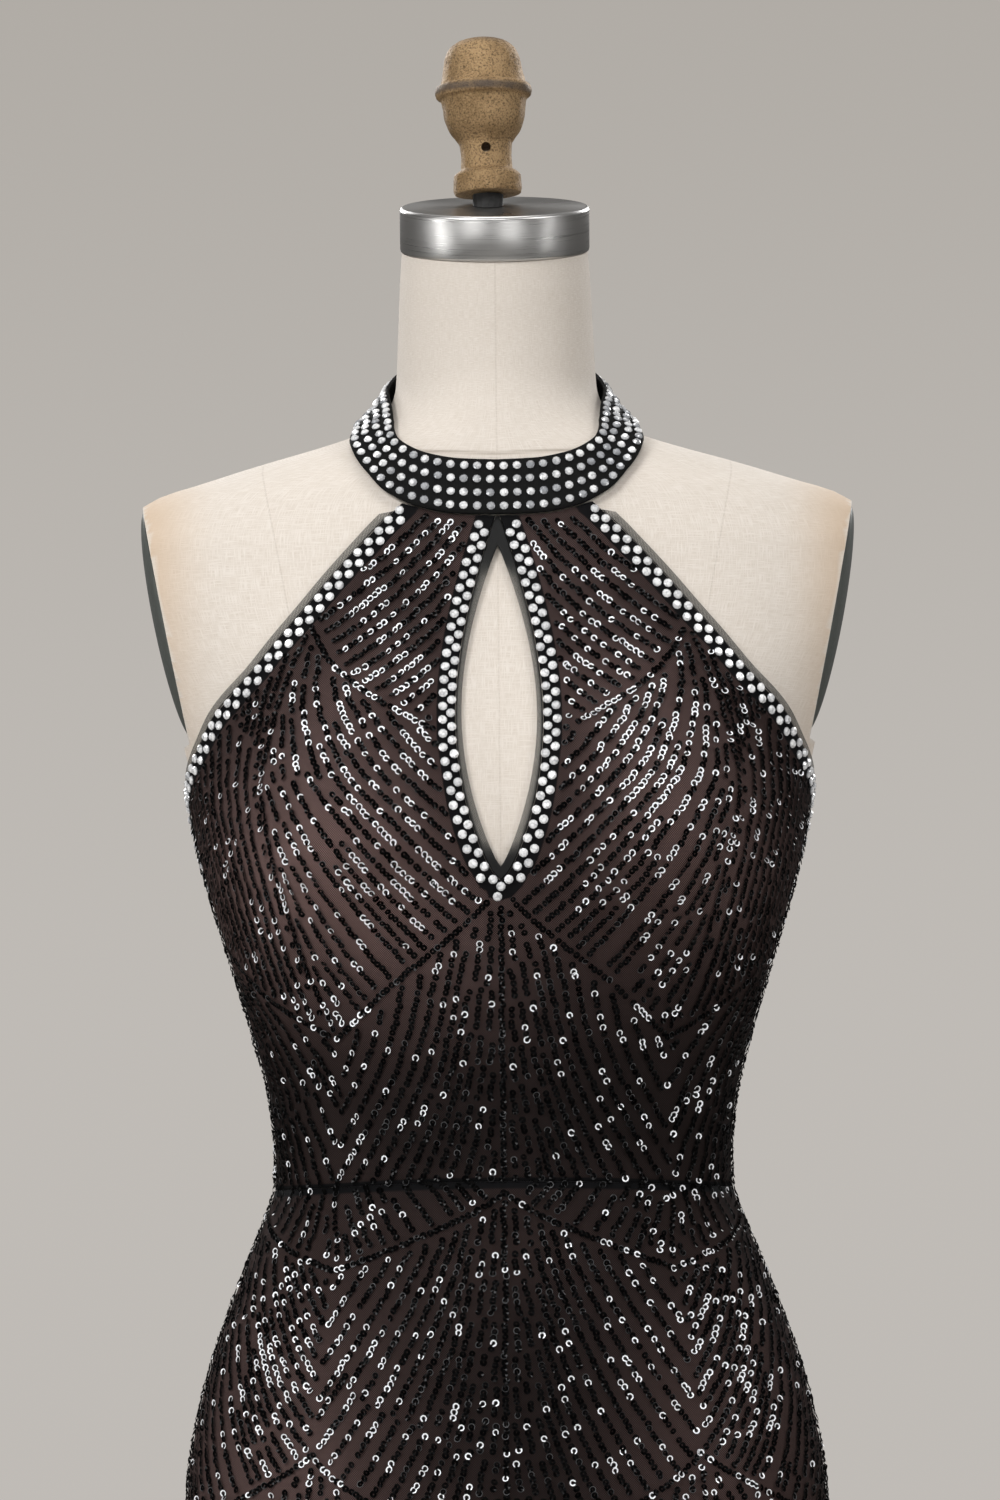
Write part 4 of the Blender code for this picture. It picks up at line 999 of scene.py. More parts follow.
def edge_points(line, side=1, count=260):
    place = line(np.linspace(0, 1, count))
    return cloth(side * place[:, 0], place[:, 1])


BAND_REACH = 0.0100
CLOTH_SHELL = 0.0011
NET_SHELL = 0.0004
RIBBON_SHELL = 0.0016
TAPE_SHELL = 0.0008
STITCHED = 0.00003  # half the gap between two pieces along a seam

# where the cloth lies tight over the form and its lining shows, with painted light: the spots on the left,
# where the key light falls, are stronger than those on the right: x, height, reach across, reach up, share
TAUT_AND_LIT = (
    (-0.100, 1.225, 0.070, 0.060, 1.00),
    (0.095, 1.235, 0.070, 0.062, 0.55),
    (-0.075, 1.325, 0.060, 0.055, 0.38),
    (0.075, 1.325, 0.060, 0.055, 0.34),
    (-0.125, 0.920, 0.070, 0.100, 0.50),
    (0.125, 0.930, 0.060, 0.090, 0.38),
    (-0.030, 1.180, 0.050, 0.050, 0.20),
    (0.0, 1.030, 0.060, 0.030, 0.10),
    (0.0, 1.405, 0.090, 0.035, 0.30),
)


# how much lighter lining shows: partly where the cloth lies tight, partly painted light, stronger on the key
# light's side
def tautness_and_light(points):
    x, y, z = (points[..., i] for i in range(3))
    share = np.zeros(x.shape)
    for place, height, across, up, most in TAUT_AND_LIT:
        share += most * np.exp(-(((x - place) / across) ** 2) - ((z - height) / up) ** 2)
    behind = 0.42 * np.exp(-(((z - 0.92) / 0.12) ** 2))
    lower = 0.26 * smoothstep((0.86 - z) / 0.20)
    return np.clip(np.where(y > 0, behind, share) + lower, 0, 1)


def seam_shade(points):
    """How near a place is to the waist seam, where the two pieces turn in and lie in shade."""
    turn = np.degrees(np.arctan2(points[..., 0], -points[..., 1]))
    away = np.abs(points[..., 2] - waist_seam(turn))
    return 1 - smoothstep((away - 0.0006) / 0.0012)


def cloth_values(points, edges=()):
    band = band_near(points, edges, BAND_REACH) if len(edges) else np.zeros(points.shape[:-1])
    # band also carries the waist seam's painted shade
    return {"band": np.maximum(band, seam_shade(points)), "taut_and_lit": tautness_and_light(points)}


EDGES = {side: [edge_points(line, side) for line in (KEYHOLE, HALTER, BACK)] for side in (-1, 1)}
ALL_EDGES = EDGES[1] + EDGES[-1]


def bodice_front_places(columns, rows_below, rows_above):
    """Places over the front's right half, as rows from the waist up and columns from the centre out."""
    armhole = FREE_EDGE_FRONT[-1][1]
    centre = walked_line(((0, float(waist_seam(0)) + STITCHED), (0, CUT_LOW)))
    heights = np.linspace(WAIST + SEAM / 2, armhole, 9)
    side = walked_line(np.stack([90 - seam_turn(heights), heights], -1))
    turns = np.linspace(0, 90 - float(seam_turn(WAIST)), 9)
    bottom = walked_line(np.stack([turns, waist_seam(turns) + STITCHED], -1))
    rows = [tuple(KEYHOLE(1.0))]
    for bearing in COLLAR_MEETING_BEARINGS:
        z = float(collar_edge(bearing, 1)) - COLLAR_SEAM
        rows.append((float(turn_of_bearing(bearing, z)), z))
    top = walked_line([*rows, tuple(HALTER(1.0))])
    share = 10 / 23  # of a side's rows that lie below the keyhole
    left = chained(centre, KEYHOLE, share)
    right = chained(side, HALTER, 11 / 23)
    v = np.concatenate([np.linspace(0, share, rows_below, endpoint=False), np.linspace(share, 1, rows_above)])
    return patch(bottom, top, left, right, np.linspace(0, 1, columns), v)


def make_bodice_front():
    places = bodice_front_places(44, 40, 64)
    halves, uvs, values = [], [], []
    for side in (1, -1):
        points = cloth(side * places[..., 0], places[..., 1])
        halves.append(points)
        across = np.linalg.norm(np.diff(points, axis=1), axis=2)
        u = np.concatenate([np.zeros((len(points), 1)), np.cumsum(across, axis=1)], axis=1)
        uvs.append(np.stack([side * (u + np.abs(points[:, :1, 0])), places[..., 1] + 0 * u], -1))
        values.append(cloth_values(points, EDGES[side]))
    rows, columns = places.shape[:2]
    faces = grid_faces(rows, columns)
    faces = np.concatenate([faces, faces[:, ::-1] + rows * columns])
    joined = {name: np.concatenate([each[name].ravel() for each in values]) for name in values[0]}
    points = np.concatenate([half.reshape(-1, 3) for half in halves])
    uv = np.concatenate([each.reshape(-1, 2) for each in uvs])
    made = mesh_object("bodice_front", points, faces, uv, joined)
    weld(made)
    give_thickness(made, CLOTH_SHELL)
    return dress(made, NET, "front_bodice", "beaded_net")


def weld(made):
    mesh = bmesh.new()
    mesh.from_mesh(made.data)
    bmesh.ops.remove_doubles(mesh, verts=mesh.verts[:], dist=0.00001)
    mesh.to_mesh(made.data)
    mesh.free()


def make_bodice_back(side, name, node):
    low = WAIST + SEAM / 2
    heights = np.linspace(low, FREE_EDGE_BACK[0][1], 9)
    seam = walked_line(np.stack([90 + seam_turn(heights), heights], -1))
    zip_edge = walked_line([(float(centre_back_turn(z)), z) for z in (low, FREE_EDGE_BACK[-1][1])])
    turns = (90 + float(seam_turn(low)), 135, float(centre_back_turn(low)))
    bottom = walked_line([(turn, low) for turn in turns])
    places = patch(bottom, BACK, seam, zip_edge, np.linspace(0, 1, 60), np.linspace(0, 1, 34))
    points = cloth(side * places[..., 0], places[..., 1])
    faces = grid_faces(34, 60)
    faces = faces if side > 0 else faces[:, ::-1]
    made = mesh_object(name, points, faces, arc_uv(points), cloth_values(points, [EDGES[side][2]]))
    give_thickness(made, CLOTH_SHELL)
    return dress(made, NET, node, "beaded_net")


def skirt_height(turn, height):
    fade = np.maximum(0.0, 1 - (WAIST - height) / 0.10)
    return height + (waist_seam(turn) - WAIST - STITCHED) * fade


def make_skirt_panel(name, node, columns, rows, first, last, side):
    t = np.linspace(0, 1, rows)
    heights = WAIST + (HEM - WAIST) * t
    u = np.linspace(0, 1, columns)[None]
    turn = (1 - u) * first(heights)[:, None] + u * last(heights)[:, None]
    z = skirt_height(turn, heights[:, None])
    points = cloth(side * turn, z)[::-1]
    faces = grid_faces(rows, columns)
    faces = faces if side > 0 else faces[:, ::-1]
    made = mesh_object(name, points, faces, arc_uv(points), cloth_values(points))
    give_thickness(made, CLOTH_SHELL)
    return dress(made, NET, node, "beaded_net")


def make_skirt():
    ahead = (lambda z: seam_turn(z) - 90, lambda z: 90 - seam_turn(z))
    behind = (lambda z: 90 + seam_turn(z), centre_back_turn)
    front = make_skirt_panel("skirt_front_cloth", "skirt_front", 121, 140, *ahead, 1)
    left = make_skirt_panel("skirt_back_left_cloth", "skirt_back_left", 61, 140, *behind, -1)
    right = make_skirt_panel("skirt_back_right_cloth", "skirt_back_right", 61, 140, *behind, 1)
    return front, left, right


# Puckers of the collar band at its sides: bearing, half width in degrees, depth
COLLAR_PUCKERS = (
    (-52, 3.0, 0.0010),
    (-60, 2.6, -0.0009),
    (-67, 3.0, 0.0008),
    (53, 3.0, 0.0009),
    (61, 2.8, -0.0010),
    (69, 3.2, 0.0008),
    (-120, 4, 0.0006),
    (128, 4, -0.0006),
)


def collar_points(bearing, v, out=0.0):
    """Points of the collar's outer face at bearings, and at shares of its height."""
    bearing, v = np.broadcast_arrays(np.asarray(bearing, float), np.asarray(v, float))
    edges = []
    for column in (1, 2):
        z = collar_edge(bearing, column)
        edges.append(above(turn_of_bearing(bearing, z), z, COLLAR_CLEARANCE + BAND))
    points = edges[0] + (edges[1] - edges[0]) * v[..., None]
    pucker = sum(depth * np.exp(-(((bearing - at) / width) ** 2)) for at, width, depth in COLLAR_PUCKERS)
    b = np.radians(bearing)
    flat = np.stack([np.sin(b), -np.cos(b), np.full(bearing.shape, 0.25)], -1)
    return points + flat * (out + pucker * np.sin(pi * v))[..., None]


def make_collar():
    bearing = np.linspace(-180 + COLLAR_END_TURN, 180 - COLLAR_END_TURN, 240)[None]
    v = np.linspace(0, 1, 13)[:, None]
    points = collar_points(bearing, v)
    made = mesh_object("collar_band", points, grid_faces(13, 240), arc_uv(points))
    give_thickness(made, RIBBON_SHELL)
    return dress(made, RIBBON, "collar", "collar_black")


NET_FOLDS = (1.0, 0.45, 0.0, 0.42, 0.0, 0.38, 0.0, 0.5)  # how dark the net is, from the cloth outwards


def make_edge_net(side, name, node):
    """Sheer net beyond the cloth's edge, down the halter line and along the open back."""
    t = np.linspace(0, 1, 90)
    across = np.linspace(0, 1, 8)
    rows = []
    for share in across:
        out = CLEARANCE + TRIM * 0.8
        sideways = SEAM + BINDING * share
        start = 1 - 0.030 - 0.026 * share
        front, _ = beside(HALTER, start * (1 - t), np.full(90, -sideways), out)
        back, _ = beside(BACK, t, np.full(90, sideways), out)
        rows.append(np.concatenate([front, back[1:]]))
    points = np.array(rows) * (side, 1, 1)
    faces = grid_faces(8, points.shape[1])
    doubled = np.broadcast_to(np.array(NET_FOLDS)[:, None], points.shape[:2])
    faces = faces[:, ::-1] if side > 0 else faces
    made = mesh_object(name, points, faces, arc_uv(points), {"doubled": doubled})
    give_thickness(made, NET_SHELL)
    return dress(made, SHEER, node, "binding_net")


def make_keyhole_net():
    """Sheer net round the keyhole, whose sides meet above and below the opening."""
    t = np.linspace(0, 1, 70)
    out = CLEARANCE + TRIM * 0.8
    x, z = keyhole_side(t, KEYHOLE_LOW, KEYHOLE_HIGH, KEYHOLE_HALF, KEYHOLE_SKEW)
    inner = above(turn_at(x, z), z, out)
    outer, _ = beside(KEYHOLE, t, np.full(70, SEAM), out)
    outer[0] = above(0.0, CUT_LOW + 2 * SEAM, out)
    top_inner, top_outer = above(0.0, KEYHOLE_HIGH, out), above(0.0, under_collar(), out)
    share = np.linspace(0, 1, 6)[:, None, None]
    points = inner[None] + (outer - inner)[None] * share
    apex = top_inner + (top_outer - top_inner) * share
    points = np.concatenate([points, apex], axis=1)
    halves = np.concatenate([points.reshape(-1, 3), (points * (-1, 1, 1)).reshape(-1, 3)])
    rows, columns = points.shape[:2]
    faces = grid_faces(rows, columns)
    faces = np.concatenate([faces[:, ::-1], faces + rows * columns])
    uv = arc_uv(points).reshape(-1, 2)
    tall = (points[..., 2] - CUT_LOW) / (under_collar() - CUT_LOW)
    tips = smoothstep((np.abs(tall - 0.47) - 0.33) / 0.09)
    doubled = np.maximum(tips, smoothstep((share[..., 0] - 0.50) / 0.5) * 0.9 + 0.12).ravel()
    values = {"doubled": np.concatenate([doubled, doubled])}
    made = mesh_object("keyhole_net", halves, faces, np.concatenate([uv, uv * (-1, 1)]), values)
    weld(made)
    give_thickness(made, NET_SHELL)
    return dress(made, SHEER, "keyhole_binding", "binding_net")


# ---- Sequins ----

SEQUIN_RADIUS = 0.00190
SEQUIN_HOLE = 0.00045
PITCH = 0.0032
SHORTEST = 4  # sequins in a line
LINES_APART = 0.0041  # sequins of two lines are never closer
# how far a line falls from its ridge to the next column, how early, the gap between lines up a column,
# how far from the line below one starts, and how near to it one stops
FANS = {
    "centre": (0.34, 0.42, 0.0096, 0.0060, 0.0049),
    "side": (0.24, 0.42, 0.0106, 0.0066, 0.0054),
    "hip": (0.24, 0.42, 0.0098, 0.0062, 0.0051),
    "chest": (0.125, 0.60, 0.0106, 0.0066, 0.0054),
}
UPRIGHT_GAP = 0.0052  # between the upright lines at the bodice's sides
BODICE_SCALLOPS = ((1.366, 1.286), (1.140, 1.223))  # at an odd column, at an even one
OVER_ALL = 9.0  # higher than any sequin
REPEAT = 0.30
# height, and the turn of the first column there
COLUMN_TURNS = (
    (0.017, 45),
    (0.60, 45),
    (0.80, 41),
    (0.92, 37),
    (1.02, 40),
    (1.06, 46),
    (1.14, 41),
    (1.185, 46),
    (1.27, 48),
    (1.30, 44),
    (1.366, 29),
    (1.43, 24),
)


def turn_of_column(s, z):
    rows = np.array(COLUMN_TURNS, float)
    first = smoothed(rows[:, 0], rows[:, 1], np.clip(z, 0.017, 1.43))
    a = np.abs(s)
    turn = np.where(a < 1, a * first, np.where(a < 2, first + (90 - first) * (a - 1), 90 + 45 * (a - 2)))
    return np.sign(s) * turn


def to_even(s):
    """Distance to the nearest even column, from 0 to 1."""
    return np.abs((s + 1) % 2 - 1)


def scallop(s, odd, even, peak):
    """A boundary between two zones of the pattern, peaked at its higher columns."""
    away = to_even(s) if peak == "even" else 1 - to_even(s)
    high, low = (even, odd) if peak == "even" else (odd, even)
    return high - (high - low) * away**0.7


def boundary(odd, even, peak):
    return lambda s: scallop(s, odd, even, peak)


def level(height):
    return lambda s: height + 0 * s


def zones():
    """Zones of the pattern: which columns its lines fan from, and its lower and upper limits."""
    first, second = boundary(*BODICE_SCALLOPS[0], "odd"), boundary(*BODICE_SCALLOPS[1], "even")
    made = [
        ("bodice", "chest", first, level(OVER_ALL)),
        ("bodice", "side", second, first),
        ("bodice", "centre", level(0), second),
    ]
    for i in range(4):
        top = 1.015 - REPEAT * i
        upper = level(OVER_ALL) if i == 0 else boundary(top + 0.205, top + 0.150, "odd")
        middle = boundary(top, top + (0.043 if i == 0 else 0.083), "even")
        lower = boundary(top - 0.095, top - 0.150, "odd")
        made += [("skirt", "hip", middle, upper), ("skirt", "centre", lower, middle)]
    return made


def along(points, pitch):
    """Shares at which a line of points is a steady distance on, with some unevenness."""
    steps = np.linalg.norm(np.diff(points, axis=0), axis=1)
    walked = np.concatenate([[0], np.cumsum(steps)])
    count = int(walked[-1] / pitch)
    at = (np.arange(count) + 0.5 + random.uniform(-0.09, 0.09, count)) * pitch
    return np.interp(at, walked, np.arange(len(points)))


def kept_runs(away, starts, nearest):
    """Marks the runs of a line that start well away from the line below, and go on while they're clear."""
    kept = np.zeros(len(away), bool)
    i = 0
    while i < len(away):
        if away[i] < starts:
            i += 1
            continue
        first, last = i, i
        while first > 0 and not kept[first - 1] and away[first - 1] > nearest:
            first -= 1
        while last < len(away) and away[last] > nearest:
            last += 1
        if last - first >= SHORTEST:
            kept[first:last] = True
        i = last + 1
    return kept


def sown(lines, low, high, bottom, top, starts, nearest):
    """Sequins along lines of column and height, each line clear of those before it."""
    found, below = [], []
    for s, z in lines:
        inside = (z > low(s)) & (z < high(s)) & (z > bottom) & (z < top)
        if inside.sum() < 3:
            continue
        a, b = max(np.argmax(inside) - 1, 0), min(len(s) - np.argmax(inside[::-1]) + 1, len(s))
        index = along(skin(turn_of_column(s[a:b], z[a:b]), z[a:b]), PITCH) + a
        si, zi = np.interp(index, np.arange(len(s)), s), np.interp(index, np.arange(len(s)), z)
        inside = (zi > low(si)) & (zi < high(si)) & (zi > bottom) & (zi < top)
        si, zi = si[inside], zi[inside]
        if len(si) < SHORTEST:
            continue
        here = skin(turn_of_column(si, zi), zi)
        away = np.full(len(here), 1.0)
        if below:
            away = np.linalg.norm(here[:, None] - np.concatenate(below[-14:])[None], axis=2).min(axis=1)
        keep = kept_runs(away, starts, nearest)
        if keep.any():
            found.append(line_rows(si, zi, keep, 0))
            below.append(here[keep])
    return found


def upright(part, kind, ridge, side):
    """True where the lines of a fan run straight down: on the bodice's sides, from the bust to the back."""
    return part == "bodice" and kind == "side" and 1 <= abs(ridge + side / 2) <= 3


def fan_samples(part, kind, low, high, bottom, top):
    """Sequin places of one zone, as rows of column, height, two waves, line number and rank."""
    spread, power, gap, starts, nearest = FANS[kind]
    found = []
    for ridge in (1, -1, 3, -3) if kind in ("side", "hip") else (0, 2, -2, 4):
        for side in (-1, 1):
            if upright(part, kind, ridge, side):
                z = np.linspace(bottom, top, 200)
                columns = ridge + side * np.arange(0.035, 1.0, 0.035)
                lines = [(np.full(200, s), z) for s in columns]
                found += sown(lines, low, high, bottom, top, UPRIGHT_GAP, UPRIGHT_GAP * 0.86)
                continue
            w = np.linspace(0, 1, 240)
            s = ridge + side * w ** (1 / power)
            steps = range(int(bottom / gap) - 1, int((top + spread) / gap) + 2)
            found += sown([(s, k * gap - spread * w) for k in steps], low, high, bottom, top, starts, nearest)
    return found


line_numbers = count(1)


def line_rows(s, z, keep, rank):
    """Rows for the kept places of one line: column, height, two slow waves of lean, line and rank."""
    n = np.arange(len(s))
    phase = random.uniform(0, 2 * pi, 4)
    lean = np.sin(n * 0.9 + phase[0]) * 0.5 + np.sin(n * 0.37 + phase[1]) * 0.8
    roll = np.sin(n * 0.7 + phase[2]) * 0.6 + np.sin(n * 0.29 + phase[3]) * 0.7
    number = np.full(len(s), next(line_numbers))
    return np.stack([s, z, lean, roll, number, np.full(len(s), rank)], -1)[keep]


def boundary_rows(edge, bottom, top):
    s = np.linspace(-4, 4, 4000)
    z = edge(s)
    points = skin(turn_of_column(s, z), z)
    index = along(points, PITCH)
    si, zi = np.interp(index, np.arange(4000), s), np.interp(index, np.arange(4000), z)
    return line_rows(si, zi, (zi > bottom) & (zi < top), -9)


def ridge_rows(ridge, low, high, bottom, top):
    first, last = (float(edge(np.array(float(ridge)))) for edge in (low, high))
    z = np.arange(max(bottom, first), min(top, last), PITCH)
    if len(z) < 3:
        return None
    return line_rows(np.full(len(z), ridge * 1.0), z, np.ones(len(z), bool), -8)


def all_sequins():
    """Every sequin's column, height, lean and roll, for bodice and skirt."""
    rows = {"bodice": [], "skirt": []}
    for part, kind, low, high in zones():
        bottom, top = (WAIST, 1.435) if part == "bodice" else (HEM + 0.003, WAIST + 0.004)
        rows[part] += fan_samples(part, kind, low, high, bottom, top)
        rows[part].append(boundary_rows(low, bottom, top))
        for ridge in (1, -1, 3, -3) if kind in ("side", "hip") else (0, 2, -2):
            extra = ridge_rows(ridge, low, high, bottom, top)
            if extra is not None:
                rows[part].append(extra)
    joined = {part: np.concatenate(each) for part, each in rows.items()}
    return {part: each[np.argsort(each[:, 5], kind="stable")] for part, each in joined.items()}


def thinned(points, lines):
    """Marks the points to keep, so that none lies too near to an earlier one of another line."""
    tree = kdtree.KDTree(len(points))
    for i, point in enumerate(points):
        tree.insert(point, i)
    tree.balance()
    kept = np.zeros(len(points), bool)
    for i, point in enumerate(points):
        near = tree.find_range(point, LINES_APART)
        kept[i] = not any(kept[j] and lines[j] != lines[i] for _, j, _ in near)
    return kept


def ring_template(steps, radius, hole, rise):
    """A cupped ring: its points, faces, and a mask that is 1 on its rim but for the thread's notch."""
    angle = np.arange(steps) * 2 * pi / steps
    ring = np.stack([np.cos(angle), np.sin(angle), np.zeros(steps)], -1)
    inner, outer = ring * hole, ring * radius
    inner[:, 2] = -rise
    i = np.arange(steps)
    after = (i + 1) % steps
    # the rim mask shapes each sequin's painted highlight into a C, open at the thread's notch
    rim = np.concatenate([np.zeros(steps), np.where(i == 0, 0.0, 1.0)])
    return np.concatenate([inner, outer]), np.stack([i, after, after + steps, i + steps], -1)[:, ::-1], rim


def hexagon_template(radius):
    angle = np.arange(6) * pi / 3
    points = np.stack([np.cos(angle), np.sin(angle), 0.12 * np.cos(2 * angle)], -1) * radius
    return points, np.array([(0, 1, 2, 3), (0, 3, 4, 5)]), np.array((0, 1, 1, 0, 1, 1))


def scatter(name, template, place, x, y, normal, painted_glint, material, slot=None, size=None):
    """Copies of a small template, joined in one mesh, each in its own place and turned its own way."""
    points, faces, mask = template
    size = np.ones(len(place)) if size is None else size
    spread = points[None] * size[:, None, None]
    corners = place[:, None] + spread[..., :1] * x[:, None] + spread[..., 1:2] * y[:, None]
    corners = corners + spread[..., 2:] * normal[:, None]
    each = len(points)
    all_faces = (faces[None] + (np.arange(len(place)) * each)[:, None, None]).reshape(-1, faces.shape[1])
    # each copy's painted glint, spread over its template's mask
    made = mesh_object(name, corners, all_faces, values={"painted_glint": painted_glint[:, None] * mask[None]})
    return dress(made, material, slot=slot)


def turned_frames(normal, tangent, lean, roll, spin):
    """Axes of small flat things that lie on the cloth, leaned along their line and rolled across it."""
    tangent = unit(tangent - normal * (tangent * normal).sum(-1, keepdims=True))
    side = np.cross(normal, tangent)
    n = unit(normal + tangent * np.tan(lean)[:, None] + side * np.tan(roll)[:, None])
    x = unit(tangent - n * (tangent * n).sum(-1, keepdims=True))
    y = np.cross(n, x)
    c, s = np.cos(spin)[:, None], np.sin(spin)[:, None]
    return x * c + y * s, y * c - x * s, n


def far_from(points, edges, reach):
    keep = np.ones(len(points), bool)
    for edge in edges:
        for start in range(0, len(points), 20000):
            away = np.linalg.norm(points[start : start + 20000, None] - edge[None], axis=2).min(axis=1)
            keep[start : start + 20000] &= away > reach
    return keep


def under_collar_mask(points):
    """True where a point is clear below the collar's lower edge."""
    bearing = np.degrees(np.arctan2(points[:, 0], -(points[:, 1] - 0.018)))
    return points[:, 2] < collar_edge(np.clip(bearing, -180, 180), 1) - 0.003


def inside_bodice(turn, z):
    """True on the cloth of the bodice: below the halter line or the open back, and beside the keyhole."""
    t = np.linspace(0, 1, 300)
    halter, back, keyhole = HALTER(t), BACK(t), KEYHOLE(t)
    a = np.abs(turn)
    front_top = np.interp(z, halter[:, 1], halter[:, 0])
    inside = np.where(z > halter[0, 1], (a < front_top) & (z < halter[-1, 1]), True)
    back_limit = np.interp(a, back[:, 0], back[:, 1])
    inside &= np.where(a > 90, z < back_limit, True)
    hole = np.interp(z, keyhole[:, 1], keyhole[:, 0])
    inside &= np.where(z > CUT_LOW, a > hole, True)
    return inside


def make_sequins():
    rows = all_sequins()
    for part, each in rows.items():
        s, z = each[:, 0], each[:, 1]
        drift = random.normal(0, 0.00035, len(s))
        z = z + random.normal(0, 0.00025, len(s))
        turn = turn_of_column(s, z)
        radius = np.maximum(section(z)[0], 0.05)
        turn = turn + np.degrees(drift / radius)
        points = cloth(turn, z)
        keep = random.random(len(s)) > 0.012
        if part == "bodice":
            keep &= inside_bodice(turn, z) & under_collar_mask(points) & (z > waist_seam(turn) + 0.0004)
            keep &= far_from(points, ALL_EDGES, 0.0114)
        else:
            keep &= (z < waist_seam(turn) - 0.0004) & (z > HEM + 0.003)
        centre_gap = (180 - np.abs((turn + 180) % 360 - 180)) * radius * pi / 180
        keep &= (np.abs(turn) < 90) | (centre_gap > np.where(z > ZIP_BOTTOM - 0.01, 0.0062, 0.001))
        chosen = np.flatnonzero(keep)
        chosen = chosen[thinned(points[chosen], each[chosen, 4])]
        chosen = chosen[np.argsort(each[chosen, 4], kind="stable")]
        s, z, turn, points, each = s[chosen], z[chosen], turn[chosen], points[chosen], each[chosen]
        place_sequins(part, s, z, turn, points, each)


# where more of the sequins get a painted highlight on the rim: x, height, reach across, reach up, share
FLASHES = (
    (0.0, 1.410, 0.060, 0.030, 0.22),
    (-0.055, 1.335, 0.030, 0.055, 0.46),
    (0.058, 1.335, 0.032, 0.055, 0.44),
    (-0.090, 1.300, 0.030, 0.030, 0.26),
    (0.100, 1.290, 0.036, 0.045, 0.50),
    (-0.055, 1.235, 0.035, 0.035, 0.40),
    (-0.111, 1.215, 0.010, 0.050, 0.36),
    (0.070, 1.245, 0.035, 0.030, 0.32),
    (-0.085, 1.130, 0.016, 0.070, 0.36),
    (0.088, 1.120, 0.016, 0.070, 0.30),
    (0.0, 1.150, 0.035, 0.060, 0.05),
    (-0.100, 0.960, 0.050, 0.070, 0.36),
    (0.105, 0.960, 0.045, 0.070, 0.32),
    (0.0, 0.920, 0.060, 0.060, 0.05),
    (0.0, 0.700, 0.110, 0.120, 0.12),
)
FLASHES_ANYWHERE = 0.055
TOWARDS_LIGHT = (-0.52, -0.68, 0.51)  # the sequins that flash are the ones that face it a little more


def flashes(points, turn, each):
    """How much painted highlight each sequin's rim gets, near-white for a flash and grey for a dim glint:
    runs of neighbours along a line flash together.
    """
    share = np.full(len(points), FLASHES_ANYWHERE)
    for place, height, across, up, most in FLASHES:
        near = np.exp(-(((points[:, 0] - place) / across) ** 2) - ((points[:, 2] - height) / up) ** 2)
        share += most * near * (points[:, 1] < 0)
    share *= np.where(np.abs(turn) < 90, 1 - 0.75 * smoothstep((np.abs(turn) - 58) / 20), 0.8)
    score = 0.45 * each[:, 2] + 0.35 * each[:, 3] + random.normal(0, 0.60, len(points))
    rank = np.argsort(np.argsort(score)) / len(points)
    half_lit = random.random(len(points)) < 0.35
    dim_glint = np.where(half_lit, random.uniform(0.22, 0.34, len(points)), 0)
    return np.where(rank > 1 - share, random.uniform(0.62, 1.0, len(points)), dim_glint)


def place_sequins(part, s, z, turn, points, each):
    painted_glint = flashes(points, turn, each)
    normal = outward(turn, z)
    light = np.where(normal[:, 1:2] < 0, TOWARDS_LIGHT, (-0.4, 0.75, 0.5))
    normal = unit(normal + light * np.where(painted_glint > 0.6, 0.34, 0.0)[:, None])
    ahead = np.roll(points, -1, axis=0) - points
    far = np.linalg.norm(ahead, axis=1) > 0.012
    ahead[far] = (0.0, 0.0, 1.0)
    count = len(s)
    lean = np.radians(12 + 7 * each[:, 2] + random.normal(0, 7, count))
    roll = np.radians(7 * each[:, 3] + random.normal(0, 8, count))
    spin = random.normal(0, 0.45, count)
    x, y, n = turned_frames(normal, unit(ahead), lean.clip(-0.5, 0.5), roll.clip(-0.5, 0.5), spin)
    place = points + normal * (0.0009 + random.uniform(0, 0.0004, count))[:, None]
    size = random.uniform(0.93, 1.06, count)
    front = np.abs(turn) < 90
    groups = (
        ("bodice", "sequins_bodice_front", front, 8),
        ("bodice", "sequins_bodice_back_left", ~front & (turn < 0), 6),
        ("bodice", "sequins_bodice_back_right", ~front & (turn > 0), 6),
        ("skirt", "sequins_skirt_front", front & (z > 0.83), 8),
        ("skirt", "sequins_skirt_front_middle", front & (z <= 0.83) & (z > 0.50), 6),
        ("skirt", "sequins_skirt_back_left", ~front & (turn < 0) & (z > 0.50), 6),
        ("skirt", "sequins_skirt_back_right", ~front & (turn > 0) & (z > 0.50), 6),
        ("skirt", "sequins_skirt_front_hem", front & (z <= 0.50), 0),
        ("skirt", "sequins_skirt_back_left_hem", ~front & (turn < 0) & (z <= 0.50), 0),
        ("skirt", "sequins_skirt_back_right_hem", ~front & (turn > 0) & (z <= 0.50), 0),
    )
    for owner, name, chosen, steps in groups:
        if owner != part:
            continue
        if steps:
            template = ring_template(steps, SEQUIN_RADIUS, SEQUIN_HOLE, 0.00036)
        else:
            template = hexagon_template(SEQUIN_RADIUS)
        lying = (values[chosen] for values in (place, x, y, n, painted_glint))
        scatter(name, template, *lying, SEQUIN, "beaded_net", size[chosen])


# ---- Stones ----

KEYHOLE_STONE_PITCH = 0.0074
EDGE_STONE_PITCH = 0.0082
STONE_ROWS = (0.0021, 0.0069)  # distances of the two rows from an edge
STONE_RADIUS = 0.00252
COLLAR_STONE_SIZE = 0.94


